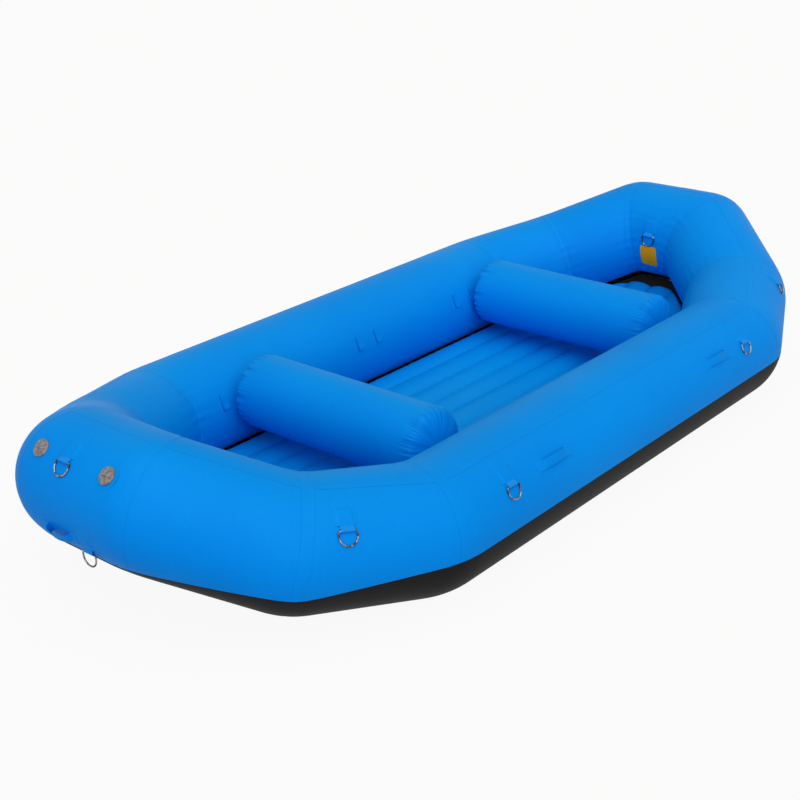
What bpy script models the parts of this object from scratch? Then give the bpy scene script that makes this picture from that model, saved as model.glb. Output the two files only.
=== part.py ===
# Self-bailing raft: four air chambers, a laced-in air floor, two thwarts and their fittings.
# Metres. +Z is up, the bow points along -X and port is -Y. The chafe band rests on z = 0.
#
# The tube is a mitred run of straight spans, so its section is carried from corner to
# corner and stopped at each mitre plane. A curve's bevel would pinch at those corners.

import math

import bmesh
import bpy
from mathutils import Matrix, Vector

# Overall shape
TUBE_RADIUS = 0.25  # flat to centre, over the chafe band
SIDE_HALF = 1.143  # half the straight length of a side tube
QUARTER_RUN = 0.510  # first raised span, in plan
QUARTER_TURN = 24.6  # degrees from the keel line
QUARTER_RISE = 0.067
SHOULDER_RUN = 0.460  # second raised span, in plan
SHOULDER_TURN = 50.6
SHOULDER_RISE = 0.169
END_HALF = 0.191  # half the length of the cross span at bow and stern
FACETS = 36  # flat strips round a tube, one of them straight up

# Fabric and clearances
SKIN_WALL = 0.0012
BAND_WALL = 0.0015
BAFFLE_WALL = 0.0016
BAFFLE_SIDES = 2 * FACETS
GAP = 0.0003  # between pieces that touch on the real boat

# Chafe band
BAND_DROP_SIDE = 0.104 * TUBE_RADIUS  # outer edge, below the tube's centre line
BAND_DROP_QUARTER = 0.372 * TUBE_RADIUS  # at the corner between quarter and shoulder
BAND_DROP_SHOULDER = 0.624 * TUBE_RADIUS
BAND_DROP_END = 0.600 * TUBE_RADIUS
BAND_DROP_INNER = 0.358 * TUBE_RADIUS
TRIM_MARGIN = 1.3  # the trimming tool's reach, in tube radii
TRIM_OVERRUN = 0.01  # and how far it passes the middle of each end

# Floor
FLOOR_CLEARANCE = 0.023  # channels' underside, above the chafe band's
FLOOR_HALF_THICK = 0.052  # at a channel's crown
FLOOR_WAIST = 0.031  # half thickness at a seam between channels
FLOOR_CHANNELS = 8
CHANNEL_SEGMENTS = 4
FLOOR_WALL = 0.0015
FLOOR_ROUND = 0.055  # width of the rounded rim
FLOOR_END_STEP = 0.012  # first section in from the floor's end
FLOOR_HEM = 0.007  # rim where top and bottom sheets are bonded
CURTAIN_WIDTH = 0.0386  # chafe band to the floor's rim, level
CURTAIN_FALL = 0.012  # its tube edge, below the floor's rim
CURTAIN_WALL = 0.0016
CURTAIN_LIFT = 0.0006  # its tube edge stands this far off the band
DRAIN_RADIUS = 0.008
DRAIN_SIDES = 8
DRAINS_A_SIDE = 8
DRAIN_PITCH = 0.25
DRAIN_CUT = 0.03  # depth of the tool that cuts a drain

# Thwarts, each with the end it is nearer to and the gap from it to that bend of the side tube
THWARTS = {"thwart_forward": (-1, 0.241), "thwart_aft": (1, 0.051)}
THWART_RADIUS = 0.162
THWART_CREASE = 0.0477  # from the tube's inner side to where the domed end begins
THWART_DOME = 0.105
THWART_DOME_STEP = 30  # degrees
THWART_LIFT = 0.095  # axis, above the side tubes' centre line
THWART_STEPS = 28
THWART_WALL = 0.0012

# Inflation valves
VALVE_SETBACK = 0.011  # from the end tube's corner
VALVE_ELEVATION = 45.0
VALVE_FLANGE_RADIUS = 0.0330
VALVE_BARREL_RADIUS = 0.0250
VALVE_BORE_RADIUS = 0.0215
VALVE_DEPTH = 0.030
VALVE_FLANGE_THICK = 0.0030
VALVE_WEB_DEPTH = 0.0215
VALVE_WEB_THICK = 0.0025
VALVE_STEM_RADIUS = 0.0040
VALVE_STEM_CLEARANCE = 0.0006
VALVE_PORTS = 3  # air ports round the stem's guide
VALVE_PORT_RADIUS = 0.0045
VALVE_PORT_SIDES = 8
VALVE_PORT_CUT = 0.012
VALVE_STEPS = 20
POPPET_THICK = 0.0030
POPPET_INSET = 0.0015  # inside the barrel's outer wall
BUTTON_RADIUS = 0.0075
BUTTON_THICK = 0.0025
BUTTON_DEPTH = 0.0070  # below the tube's skin
PLUNGER_STEPS = 12
CAP_THICK = 0.0046
CAP_EDGE_THICK = 0.0030
CAP_TOP_RADIUS = 0.0230
CAP_EDGE_INSET = 0.0015
CAP_SKIRT = 0.0077
CAP_SKIRT_WALL = 0.0025
CAP_SKIRT_CLEARANCE = 0.0008
CAP_HOLLOW = 0.0008  # inside the skirt, above the cap's seat
GRIP_LENGTH = 0.046
GRIP_WIDTH = 0.008
GRIP_HEIGHT = 0.006
GRIP_ROOT = 0.002  # sunk into the cap

# Plug valves on the thwarts and floor, and the floor's pressure relief
PLUG_RADIUS = 0.020
PLUG_TOP_RADIUS = 0.016
PLUG_HEIGHT = 0.006
PLUG_FLANGE = 0.003
PLUG_BARREL_RADIUS = 0.014
PLUG_DEPTH = 0.018
PLUG_STEPS = 14
HOLE_CLEARANCE = 0.0006  # round a valve's barrel, in the fabric
HOLE_CUT = 0.04
THWART_VALVE_Y = 0.20
THWART_VALVE_ANGLE = 118.0  # from the thwart's top, on its stern side
FLOOR_VALVE_REACH = 0.157  # past the side tube's bend
FLOOR_VALVE_CHANNEL = 1
SLOPE_STEP = 0.01  # length that the floor's slope is read over
FLOOR_VALVE_ENDS = {"floor_valve": 1, "relief_valve": -1}

# D-rings and their webbing
WIRE_RADIUS = 0.00325
RING_HALF_WIDTH = 0.0348  # to the wire's centre
RING_LEG = 0.025
RING_CORNER = 0.008
RING_CORNER_POINTS = 3
RING_BOW_POINTS = 9
RING_WIRE_RESOLUTION = 1
WEB_WIDTH = 0.050
WEB_WALL = 0.0016
PATCH_WALL = 0.0015
PATCH_UP = 12.0  # degrees of tube above the bar
PATCH_DOWN = 3.0
PATCH_STEP = 3.0
EYE_START = 50.0  # degrees round the bar where the webbing wraps it
EYE_END = 235.0
EYE_POINTS = 7
EYE_HOLE_SIDES = 12
BAR_CLEARANCE = 0.0005

# Rings, by distance from the bend of their span and by degrees from the tube's top
SIDE_RING = {"setback": 0.257, "elevation": 57.0}
QUARTER_RING = {"setback": 0.113, "elevation": 56.0}

# Rings on the end tubes, by place across the boat
END_RINGS = {
    "bow_top": {"end": -1, "y": 0.040, "elevation": 48.0, "inboard": False},
    "bow_low": {"end": -1, "y": -0.085, "elevation": 120.0, "inboard": False},
    "stern_top": {"end": 1, "y": -0.040, "elevation": 48.0, "inboard": False},
    "stern_inner": {"end": 1, "y": 0.0, "elevation": 80.0, "inboard": True},
}

# Grab and carry handles
HANDLE_WIDTH = 0.038
HANDLE_WALL = 0.0030
HANDLE_ARCH_STEPS = 8
HANDLE_ARCH_SHAPE = 0.8  # under 1, the arch is fuller than a half wave
GRAB_STRAP = {"length": 0.200, "pad": 0.040, "rise": 0.016}
CARRY_STRAP = {"length": 0.165, "pad": 0.034, "rise": 0.026}
GRAB_SETBACK = {"bow": 0.5305, "stern": 0.504}
GRAB_ELEVATION = 56.0
CARRY_Y = {"bow": 0.045, "stern": -0.045}
CARRY_ELEVATION = 110.0

SMOOTH_ANGLE = math.radians(30)  # edges flatter than this are shaded smooth

FITTING_SIDES = {"port": -1, "starboard": 1}
FITTING_ENDS = {"bow": -1, "stern": 1}

# Material colours are linear
MATERIALS = {
    "blue_pvc": ((0.000, 0.195, 0.740), 0.38, 0.0),
    "black_pvc": ((0.022, 0.021, 0.020), 0.60, 0.0),
    "grey_valve_plastic": ((0.200, 0.205, 0.200), 0.45, 0.0),
    "white_valve_plastic": ((0.700, 0.700, 0.680), 0.45, 0.0),
    "blue_webbing": ((0.003, 0.165, 0.640), 0.65, 0.0),
    "stainless_steel": ((0.560, 0.560, 0.550), 0.22, 1.0),
}


def clearScene():
    for item in list(bpy.data.objects):
        bpy.data.objects.remove(item, do_unlink=True)


def newCollection(name):
    collection = bpy.data.collections.new(name)
    bpy.context.scene.collection.children.link(collection)
    return collection


def makeMaterial(name):
    colour, roughness, metallic = MATERIALS[name]
    material = bpy.data.materials.new(name)
    material.use_nodes = True
    shader = material.node_tree.nodes["Principled BSDF"]
    shader.inputs["Base Color"].default_value = (*colour, 1.0)
    shader.inputs["Roughness"].default_value = roughness
    shader.inputs["Metallic"].default_value = metallic
    material.diffuse_color = (*colour, 1.0)
    return material


clearScene()
raft = newCollection("self_bailing_raft")
cutters = newCollection("cutters")
materials = {name: makeMaterial(name) for name in MATERIALS}


# Making and joining objects


def addPart(name, mesh, material, matrix=None):
    part = bpy.data.objects.new(name, mesh)
    raft.objects.link(part)
    mesh.materials.clear()
    mesh.materials.append(materials[material])
    if mesh.polygons:
        mesh.shade_smooth()
        mesh.set_sharp_from_angle(angle=SMOOTH_ANGLE)
    if matrix is not None:
        part.matrix_world = matrix
    return part


def addCutter(name, mesh, matrix=None):
    cutter = bpy.data.objects.new(name, mesh)
    cutters.objects.link(cutter)
    cutter.display_type = "WIRE"
    cutter.hide_render = True
    if matrix is not None:
        cutter.matrix_world = matrix
    return cutter


def meshFrom(name, bm):
    bmesh.ops.remove_doubles(bm, verts=bm.verts, dist=0.00001)
    bmesh.ops.recalc_face_normals(bm, faces=bm.faces)
    if bm.calc_volume(signed=True) < 0:
        bmesh.ops.reverse_faces(bm, faces=bm.faces)
    mesh = bpy.data.meshes.new(name)
    bm.to_mesh(mesh)
    bm.free()
    return mesh


def cylinderMesh(name, radius, depth, sides):
    bm = bmesh.new()
    bmesh.ops.create_cone(
        bm, cap_ends=True, segments=sides, radius1=radius, radius2=radius, depth=depth
    )
    return meshFrom(name, bm)


def boolean(part, other, operation="DIFFERENCE"):
    modifier = part.modifiers.new(operation.lower(), "BOOLEAN")
    modifier.operation = operation
    modifier.object = other
    modifier.solver = "EXACT"


def turnedMesh(name, profile, closed):
    """Mesh of the half section (radius, height) that a Screw modifier turns."""
    mesh = bpy.data.meshes.new(name)
    points = [(radius, 0.0, height) for radius, height in profile]
    edges = [(i, i + 1) for i in range(len(points) - 1)]
    if closed:
        edges.append((len(points) - 1, 0))
    mesh.from_pydata(points, edges, [])
    return mesh


def turn(part, steps):
    screw = part.modifiers.new("turn", "SCREW")
    screw.steps = steps
    screw.render_steps = steps
    screw.use_merge_vertices = True
    screw.merge_threshold = 0.00001


def meshFromCurve(name, curve):
    """The closed mesh of a curve, with its caps welded."""
    holder = bpy.data.objects.new(name, curve)
    bpy.context.scene.collection.objects.link(holder)
    graph = bpy.context.evaluated_depsgraph_get()
    mesh = bpy.data.meshes.new_from_object(holder.evaluated_get(graph))
    bpy.data.objects.remove(holder, do_unlink=True)
    bm = bmesh.new()
    bm.from_mesh(mesh)
    bmesh.ops.remove_doubles(bm, verts=bm.verts, dist=0.00001)
    bm.to_mesh(mesh)
    bm.free()
    mesh.name = name
    return mesh


def addSpline(curve, points, cyclic=True):
    spline = curve.splines.new("POLY")
    spline.points.add(len(points) - 1)
    for slot, point in zip(spline.points, points):
        slot.co = (point[0], point[1], 0.0, 1.0)
    spline.use_cyclic_u = cyclic


def extrudedMesh(name, outlines, width):
    """A flat outline, with any holes, pulled out to a width."""
    curve = bpy.data.curves.new(name, "CURVE")
    curve.dimensions = "2D"
    curve.fill_mode = "BOTH"
    curve.extrude = width / 2
    for outline in outlines:
        addSpline(curve, outline)
    return meshFromCurve(name, curve)


def frameMatrix(origin, xAxis, yAxis):
    zAxis = xAxis.cross(yAxis)
    matrix = Matrix((xAxis, yAxis, zAxis)).transposed().to_4x4()
    matrix.translation = origin
    return matrix


# The tube's centre line and sections


def centreLine(end, side):
    """Corners of a quarter of the boat, from amidships to the middle of an end."""
    quarter = math.radians(QUARTER_TURN)
    shoulder = math.radians(SHOULDER_TURN)
    quarterX = SIDE_HALF + QUARTER_RUN * math.cos(quarter)
    shoulderX = quarterX + SHOULDER_RUN * math.cos(shoulder)
    shoulderY = END_HALF + SHOULDER_RUN * math.sin(shoulder)
    sideY = shoulderY + QUARTER_RUN * math.sin(quarter)
    quarterZ = TUBE_RADIUS + QUARTER_RISE
    shoulderZ = quarterZ + SHOULDER_RISE
    corners = [
        (0.0, sideY, TUBE_RADIUS),
        (SIDE_HALF, sideY, TUBE_RADIUS),
        (quarterX, shoulderY, quarterZ),
        (shoulderX, END_HALF, shoulderZ),
        (shoulderX, 0.0, shoulderZ),
    ]
    return [Vector((end * x, side * y, z)) for x, y, z in corners]


SKIN_FLAT = TUBE_RADIUS - BAND_WALL - GAP
FACET_HALF_ANGLE = math.pi / FACETS
SKIN_CORNER = SKIN_FLAT / math.cos(FACET_HALF_ANGLE)
BAND_CORNER = TUBE_RADIUS / math.cos(FACET_HALF_ANGLE)
SIDE_Y = centreLine(1, 1)[0].y

# The floor's rim against the tube's centre line: below it, and inboard of it
FLOOR_DROP = TUBE_RADIUS - FLOOR_HALF_THICK - FLOOR_CLEARANCE
FLOOR_INSET = math.sqrt(BAND_CORNER**2 - FLOOR_DROP**2) + CURTAIN_WIDTH

THWART_HALF = SIDE_Y - SKIN_CORNER - THWART_CREASE
THWART_Z = TUBE_RADIUS + THWART_LIFT


def sectionRing(start, side, flat):
    """Section of the side tube amidships: corner points of its flat strips."""
    corner = flat / math.cos(FACET_HALF_ANGLE)
    ring = []
    for i in range(FACETS):
        angle = (2 * i + 1) * FACET_HALF_ANGLE
        out = side * corner * math.sin(angle)
        ring.append(start + Vector((0.0, out, corner * math.cos(angle))))
    return ring


def mitredRings(corners, ring, startGap, endGap):
    """The ring slid along each span and stopped at the mitre planes."""
    rings = []
    last = len(corners) - 1
    for i, corner in enumerate(corners):
        along = (corners[max(i, 1)] - corners[max(i, 1) - 1]).normalized()
        normal = along
        stop = corner
        if i == 0:
            stop = corner + along * startGap
        elif i == last:
            normal = Vector((0.0, 1.0, 0.0))
            stop = corner - along * endGap
        else:
            onward = (corners[i + 1] - corner).normalized()
            normal = (along + onward).normalized()
        reach = along.dot(normal)
        ring = [p + along * ((stop - p).dot(normal) / reach) for p in ring]
        rings.append(ring)
    return rings


def shellMesh(name, outer, inner):
    """Tube wall between two runs of rings, closed by a rim at each end."""
    bm = bmesh.new()
    outerRows = [[bm.verts.new(p) for p in ring] for ring in outer]
    innerRows = [[bm.verts.new(p) for p in ring] for ring in inner]
    rows = outerRows + innerRows[::-1]
    for a, b in zip(rows, rows[1:] + rows[:1]):
        for i in range(FACETS):
            j = (i + 1) % FACETS
            bm.faces.new((a[i], a[j], b[j], b[i]))
    return meshFrom(name, bm)


def quarterRings(end, side, flat, startGap, endGap):
    corners = centreLine(end, side)
    return mitredRings(corners, sectionRing(corners[0], side, flat), startGap, endGap)


def halfRings(side, flat, endGap):
    """Rings of one side of the boat, from the bow's middle to the stern's."""
    bow = quarterRings(-1, side, flat, 0.0, endGap)
    stern = quarterRings(1, side, flat, 0.0, endGap)
    return bow[::-1] + stern[1:]


# Level sections: offsets across the tube in plan, and heights


def planOffsets(corners):
    """For each corner, the plan vector that moves both its spans outboard by one."""
    normals = []
    for a, b in zip(corners, corners[1:]):
        along = (b - a).normalized()
        normal = Vector((along.y, -along.x, 0.0)).normalized()
        middle = (a + b) / 2
        normals.append(normal if normal.dot(middle) > 0 else -normal)
    offsets = [normals[0]]
    for a, b in zip(normals, normals[1:]):
        offsets.append((a + b) / (1 + a.dot(b)))
    offsets.append(normals[-1])
    return offsets


def wholeSide(bow, stern):
    return bow[::-1] + stern[1:]


def trimCutter(name, side):
    """All that lies above the chafe band's two edges, swept along one side."""
    reach = TUBE_RADIUS * TRIM_MARGIN
    drops = [BAND_DROP_SIDE] * 2 + [BAND_DROP_QUARTER, BAND_DROP_SHOULDER, BAND_DROP_END]
    sections = []
    for end in (-1, 1):
        corners = centreLine(end, side)
        corners[-1] = corners[-1] - Vector((0.0, side * TRIM_OVERRUN, 0.0))
        quarter = []
        for corner, offset, drop in zip(corners, planOffsets(centreLine(end, side)), drops):
            profile = (
                (-reach, -BAND_DROP_INNER),
                (0.0, -BAND_DROP_INNER),
                (0.0, -drop),
                (reach, -drop),
                (reach, reach),
                (-reach, reach),
            )
            quarter.append([corner + offset * o + Vector((0, 0, up)) for o, up in profile])
        sections.append(quarter)
    bm = bmesh.new()
    rows = [[bm.verts.new(p) for p in s] for s in wholeSide(*sections)]
    count = len(rows[0])
    for a, b in zip(rows, rows[1:]):
        for i in range(count):
            j = (i + 1) % count
            bm.faces.new((a[i], a[j], b[j], b[i]))
    bm.faces.new(rows[0])
    bm.faces.new(rows[-1])
    return addCutter(name, meshFrom(name, bm))


# Air chambers, baffles and chafe band


def valveMatrix(end, side):
    """Origin on the tube's skin, local Z straight out of it."""
    centre = centreLine(end, side)[-1]
    elevation = math.radians(VALVE_ELEVATION)
    out = Vector((end * math.sin(elevation), 0.0, math.cos(elevation)))
    middle = Vector((centre.x, side * (END_HALF - VALVE_SETBACK), centre.z))
    origin = middle + out * SKIN_CORNER
    across = Vector((0.0, 1.0, 0.0))
    return frameMatrix(origin, across, out.cross(across))


def makeChamber(name, end, side):
    outer = quarterRings(end, side, SKIN_FLAT, GAP / 2, GAP / 2)
    inner = quarterRings(end, side, SKIN_FLAT - SKIN_WALL, GAP / 2, GAP / 2)
    chamber = addPart(name, shellMesh(name, outer, inner), "blue_pvc")
    radius = VALVE_BARREL_RADIUS + HOLE_CLEARANCE
    hole = cylinderMesh(name + "_hole", radius, HOLE_CUT, VALVE_STEPS)
    boolean(chamber, addCutter(name + "_valve_hole", hole, valveMatrix(end, side)))


def makeBaffle(name, centre, normal):
    """A disc inside the tube where two chambers meet."""
    radius = SKIN_FLAT - SKIN_WALL - GAP
    mesh = cylinderMesh(name, radius, BAFFLE_WALL, BAFFLE_SIDES)
    up = Vector((0.0, 0.0, 1.0))
    addPart(name, mesh, "black_pvc", frameMatrix(centre, up, normal.cross(up)))


def makeBand(name, side):
    outer = halfRings(side, TUBE_RADIUS, GAP / 2)
    inner = halfRings(side, SKIN_FLAT + GAP, GAP / 2)
    band = addPart(name, shellMesh(name, outer, inner), "black_pvc")
    boolean(band, trimCutter(name + "_trim", side))


# Floor and the curtain that laces it in


def floorOutline(inset):
    """Quarter outline of the floor, (x, half width), from amidships to an end."""
    corners = centreLine(1, 1)
    points = [c - offset * inset for c, offset in zip(corners, planOffsets(corners))]
    return [(point.x, point.y) for point in points]


def interpolate(value, knots, results):
    for i in range(len(knots) - 1):
        if value <= knots[i + 1]:
            share = (value - knots[i]) / (knots[i + 1] - knots[i])
            return results[i] + (results[i + 1] - results[i]) * share
    return results[-1]


def tubeHeight(x):
    """Height of the tube's centre line beside a point of the keel line."""
    corners = centreLine(1, 1)[:4]
    return interpolate(abs(x), [c.x for c in corners], [c.z for c in corners])


def floorHeight(x):
    """Middle plane of the floor, which lifts with the tubes."""
    knots = [point[0] for point in floorOutline(FLOOR_INSET)[:4]]
    return interpolate(abs(x), knots, [tubeHeight(k) - FLOOR_DROP for k in knots])


def floorHalfWidth(x, inset):
    outline = floorOutline(inset)[:4]
    return interpolate(abs(x), [p[0] for p in outline], [p[1] for p in outline])


def channelThickness(share):
    """Half thickness across the floor: a round crown in each channel."""
    phase = math.sin(math.pi * share * FLOOR_CHANNELS)
    return FLOOR_WAIST + (FLOOR_HALF_THICK - FLOOR_WAIST) * math.sqrt(abs(phase))


def rimShare(distance):
    inside = min(max(distance / FLOOR_ROUND, 0.0), 1.0)
    return math.sqrt(1 - (1 - inside) ** 2)


def addSplit(bm, corners):
    """Two triangles that meet on the thicker diagonal, so that neither lies flat on the rim."""
    verts = [vert for vert, _ in corners]
    thick = [thickness for _, thickness in corners]
    if thick[0] + thick[2] < thick[1] + thick[3]:
        verts = verts[1:] + verts[:1]
    bm.faces.new((verts[0], verts[1], verts[2]))
    bm.faces.new((verts[0], verts[2], verts[3]))


def floorMesh(name, inset, wall):
    """Top and bottom sheets over the same grid, meeting at the rim."""
    outline = floorOutline(inset)
    endX = outline[3][0]
    half = [endX, endX - FLOOR_END_STEP, endX - FLOOR_ROUND, outline[2][0], outline[1][0]]
    stations = [-x for x in half] + half[::-1]
    segments = FLOOR_CHANNELS * CHANNEL_SEGMENTS
    rimWidth = floorOutline(FLOOR_INSET)[0][1]
    bm = bmesh.new()
    for direction in (1, -1):
        rows = []
        for x in stations:
            width = floorHalfWidth(x, inset)
            row = []
            for i in range(segments + 1):
                share = i / segments
                y = (2 * share - 1) * rimWidth
                y = min(max(y, -width), width)
                distance = min(width - abs(y), endX - abs(x))
                thick = (channelThickness(share) - wall) * rimShare(distance)
                vert = bm.verts.new((x, y, floorHeight(x) + direction * thick))
                row.append((vert, thick))
            rows.append(row)
        for a, b in zip(rows, rows[1:]):
            for i in range(segments):
                addSplit(bm, (a[i], a[i + 1], b[i + 1], b[i]))
    return meshFrom(name, bm)


def plugMatrixOnFloor(end):
    """Origin on the crown of a channel, in the floor's raised part."""
    x = end * (SIDE_HALF + FLOOR_VALVE_REACH)
    share = (FLOOR_VALVE_CHANNEL + 0.5) / FLOOR_CHANNELS
    width = floorOutline(FLOOR_INSET)[0][1]
    height = floorHeight(x) + FLOOR_HALF_THICK + GAP
    rise = floorHeight(x + SLOPE_STEP / 2) - floorHeight(x - SLOPE_STEP / 2)
    along = Vector((SLOPE_STEP, 0.0, rise)).normalized()
    origin = Vector((x, (2 * share - 1) * width, height))
    return frameMatrix(origin, along, Vector((0.0, 1.0, 0.0)))


def makeFloor():
    floor = addPart("floor", floorMesh("floor", FLOOR_INSET, 0.0), "blue_pvc")
    hollow = floorMesh("floor_hollow", FLOOR_INSET + FLOOR_HEM, FLOOR_WALL)
    boolean(floor, addCutter("floor_hollow", hollow))
    radius = PLUG_BARREL_RADIUS + HOLE_CLEARANCE
    for name, end in FLOOR_VALVE_ENDS.items():
        hole = cylinderMesh(name + "_hole", radius, HOLE_CUT, PLUG_STEPS)
        boolean(floor, addCutter(name + "_hole", hole, plugMatrixOnFloor(end)))


def curtainLines(end, side):
    """Matching points along the floor's rim and along the tube."""
    corners = centreLine(end, side)
    reach = BAND_CORNER + CURTAIN_LIFT
    down = FLOOR_DROP + CURTAIN_FALL
    inboard = math.sqrt(reach**2 - down**2)
    start = corners[0] + Vector((0.0, -side * inboard, -down))
    tube = [ring[0] for ring in mitredRings(corners, [start], 0.0, 0.0)]
    rim = []
    for corner, offset in zip(corners, planOffsets(corners)):
        inner = corner - offset * (FLOOR_INSET - 2 * GAP)
        rim.append(Vector((inner.x, inner.y, floorHeight(inner.x))))
    return rim, tube


def makeCurtain():
    """A ring of fabric from the floor's rim to the tube, with drain holes."""
    loop = []
    for end, side in ((1, 1), (1, -1), (-1, -1), (-1, 1)):
        pairs = list(zip(*curtainLines(end, side)))
        if end != side:
            pairs.reverse()
        loop += pairs[:-1]
    bm = bmesh.new()
    rows = [[bm.verts.new(a), bm.verts.new(b)] for a, b in loop]
    for a, b in zip(rows, rows[1:] + rows[:1]):
        bm.faces.new((a[0], a[1], b[1], b[0]))
    curtain = addPart("floor_curtain", meshFrom("floor_curtain", bm), "black_pvc")
    wall = curtain.modifiers.new("wall", "SOLIDIFY")
    wall.thickness = CURTAIN_WALL
    wall.offset = 0.0
    for sideName, side in FITTING_SIDES.items():
        rim, tube = curtainLines(1, side)
        middle = (rim[0] + tube[0]) / 2
        for i in range(DRAINS_A_SIDE):
            x = (i - (DRAINS_A_SIDE - 1) / 2) * DRAIN_PITCH
            place = Matrix.Translation((x, middle.y, middle.z))
            hole = cylinderMesh("drain_hole", DRAIN_RADIUS, DRAIN_CUT, DRAIN_SIDES)
            boolean(curtain, addCutter(f"drain_hole_{sideName}_{i}", hole, place))


# Thwarts


def thwartProfile(inset):
    """Half section from one domed end to the other, outer side first."""
    radius = THWART_RADIUS - inset
    dome = []
    for degrees in range(0, 91, THWART_DOME_STEP):
        angle = math.radians(degrees)
        height = THWART_HALF + (THWART_DOME - inset) * math.cos(angle)
        dome.append((radius * math.sin(angle), height))
    return dome + [(out, -height) for out, height in reversed(dome)]


def tubeCutter(name, side, clearance):
    """The side tube's straight run, grown by a clearance."""
    corner = centreLine(1, side)[0]
    radius = (SKIN_FLAT + clearance) / math.cos(FACET_HALF_ANGLE)
    mesh = cylinderMesh(name, radius, 2 * SIDE_HALF, FACETS)
    turnFacets = Matrix.Rotation(FACET_HALF_ANGLE, 4, "X")
    lay = Matrix.Rotation(math.pi / 2, 4, "Y")
    return addCutter(name, mesh, Matrix.Translation(corner) @ turnFacets @ lay)


def makeThwart(name, x):
    lay = Matrix.Rotation(math.pi / 2, 4, "X")
    place = Matrix.Translation((x, 0.0, THWART_Z)) @ lay
    mesh = turnedMesh(name, thwartProfile(0.0), False)
    thwart = addPart(name, mesh, "blue_pvc", place)
    turn(thwart, THWART_STEPS)
    hollowMesh = turnedMesh(name + "_hollow", thwartProfile(THWART_WALL), False)
    hollow = addCutter(name + "_hollow", hollowMesh, place)
    turn(hollow, THWART_STEPS)
    for label, side in FITTING_SIDES.items():
        boolean(thwart, tubeCutter(f"{name}_{label}_tube", side, GAP))
        wallCut = tubeCutter(f"{name}_{label}_wall", side, GAP + THWART_WALL)
        boolean(hollow, wallCut)
    boolean(thwart, hollow)
    radius = PLUG_BARREL_RADIUS + HOLE_CLEARANCE
    hole = cylinderMesh(name + "_hole", radius, HOLE_CUT, PLUG_STEPS)
    boolean(thwart, addCutter(name + "_valve_hole", hole, thwartValveMatrix(x)))


def thwartValveMatrix(x):
    angle = math.radians(THWART_VALVE_ANGLE)
    out = Vector((math.sin(angle), 0.0, math.cos(angle)))
    across = Vector((0.0, 1.0, 0.0))
    origin = Vector((x, THWART_VALVE_Y, THWART_Z)) + out * (THWART_RADIUS + GAP)
    return frameMatrix(origin, across, out.cross(across))


# Valves


def makeValveBody(label, place):
    """Flange, barrel and the web that guides the stem."""
    flangeTop = VALVE_FLANGE_THICK + GAP
    webTop = -VALVE_WEB_DEPTH
    webBottom = webTop - VALVE_WEB_THICK
    guide = VALVE_STEM_RADIUS + VALVE_STEM_CLEARANCE
    profile = [
        (VALVE_FLANGE_RADIUS, flangeTop),
        (VALVE_FLANGE_RADIUS, GAP),
        (VALVE_BARREL_RADIUS, GAP),
        (VALVE_BARREL_RADIUS, -VALVE_DEPTH),
        (VALVE_BORE_RADIUS, -VALVE_DEPTH),
        (VALVE_BORE_RADIUS, webBottom),
        (guide, webBottom),
        (guide, webTop),
        (VALVE_BORE_RADIUS, webTop),
        (VALVE_BORE_RADIUS, flangeTop),
    ]
    name = f"{label}_valve_body"
    part = addPart(name, turnedMesh(name, profile, True), "grey_valve_plastic", place)
    turn(part, VALVE_STEPS)
    middle = (guide + VALVE_BORE_RADIUS) / 2
    for i in range(VALVE_PORTS):
        angle = math.tau * i / VALVE_PORTS
        port = Matrix.Translation((middle * math.cos(angle), middle * math.sin(angle), webTop))
        hole = cylinderMesh("valve_port", VALVE_PORT_RADIUS, VALVE_PORT_CUT, VALVE_PORT_SIDES)
        boolean(part, addCutter(f"{name}_port_{i}", hole, place @ port))


def makePlunger(label, place):
    """Push button, stem and the poppet that seals the barrel from inside."""
    poppetTop = -VALVE_DEPTH - GAP
    poppetBottom = poppetTop - POPPET_THICK
    poppetRadius = VALVE_BARREL_RADIUS - POPPET_INSET
    buttonBottom = -BUTTON_DEPTH - BUTTON_THICK
    profile = [
        (0.0, -BUTTON_DEPTH),
        (BUTTON_RADIUS, -BUTTON_DEPTH),
        (BUTTON_RADIUS, buttonBottom),
        (VALVE_STEM_RADIUS, buttonBottom),
        (VALVE_STEM_RADIUS, poppetTop),
        (poppetRadius, poppetTop),
        (poppetRadius, poppetBottom),
        (0.0, poppetBottom),
    ]
    name = f"{label}_valve_plunger"
    part = addPart(name, turnedMesh(name, profile, False), "white_valve_plastic", place)
    turn(part, PLUNGER_STEPS)


def makeCap(label, place):
    """Cap with a skirt in the barrel's mouth and a grip bar across its top."""
    low = VALVE_FLANGE_THICK + 2 * GAP
    top = low + CAP_THICK
    skirt = VALVE_BORE_RADIUS - CAP_SKIRT_CLEARANCE
    skirtInside = skirt - CAP_SKIRT_WALL
    profile = [
        (0.0, top),
        (CAP_TOP_RADIUS, top),
        (VALVE_FLANGE_RADIUS - CAP_EDGE_INSET, low + CAP_EDGE_THICK),
        (VALVE_FLANGE_RADIUS, low),
        (skirt, low),
        (skirt, low - CAP_SKIRT),
        (skirtInside, low - CAP_SKIRT),
        (skirtInside, low + CAP_HOLLOW),
        (0.0, low + CAP_HOLLOW),
    ]
    name = f"{label}_valve_cap"
    part = addPart(name, turnedMesh(name, profile, False), "grey_valve_plastic", place)
    turn(part, VALVE_STEPS)
    bm = bmesh.new()
    size = Matrix.Diagonal((GRIP_LENGTH, GRIP_WIDTH, GRIP_HEIGHT + GRIP_ROOT, 1.0))
    lift = Matrix.Translation((0.0, 0.0, top + (GRIP_HEIGHT - GRIP_ROOT) / 2))
    bmesh.ops.create_cube(bm, size=1.0, matrix=lift @ size)
    grip = addCutter(name + "_grip", meshFrom(name + "_grip", bm), place)
    boolean(part, grip, "UNION")


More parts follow.
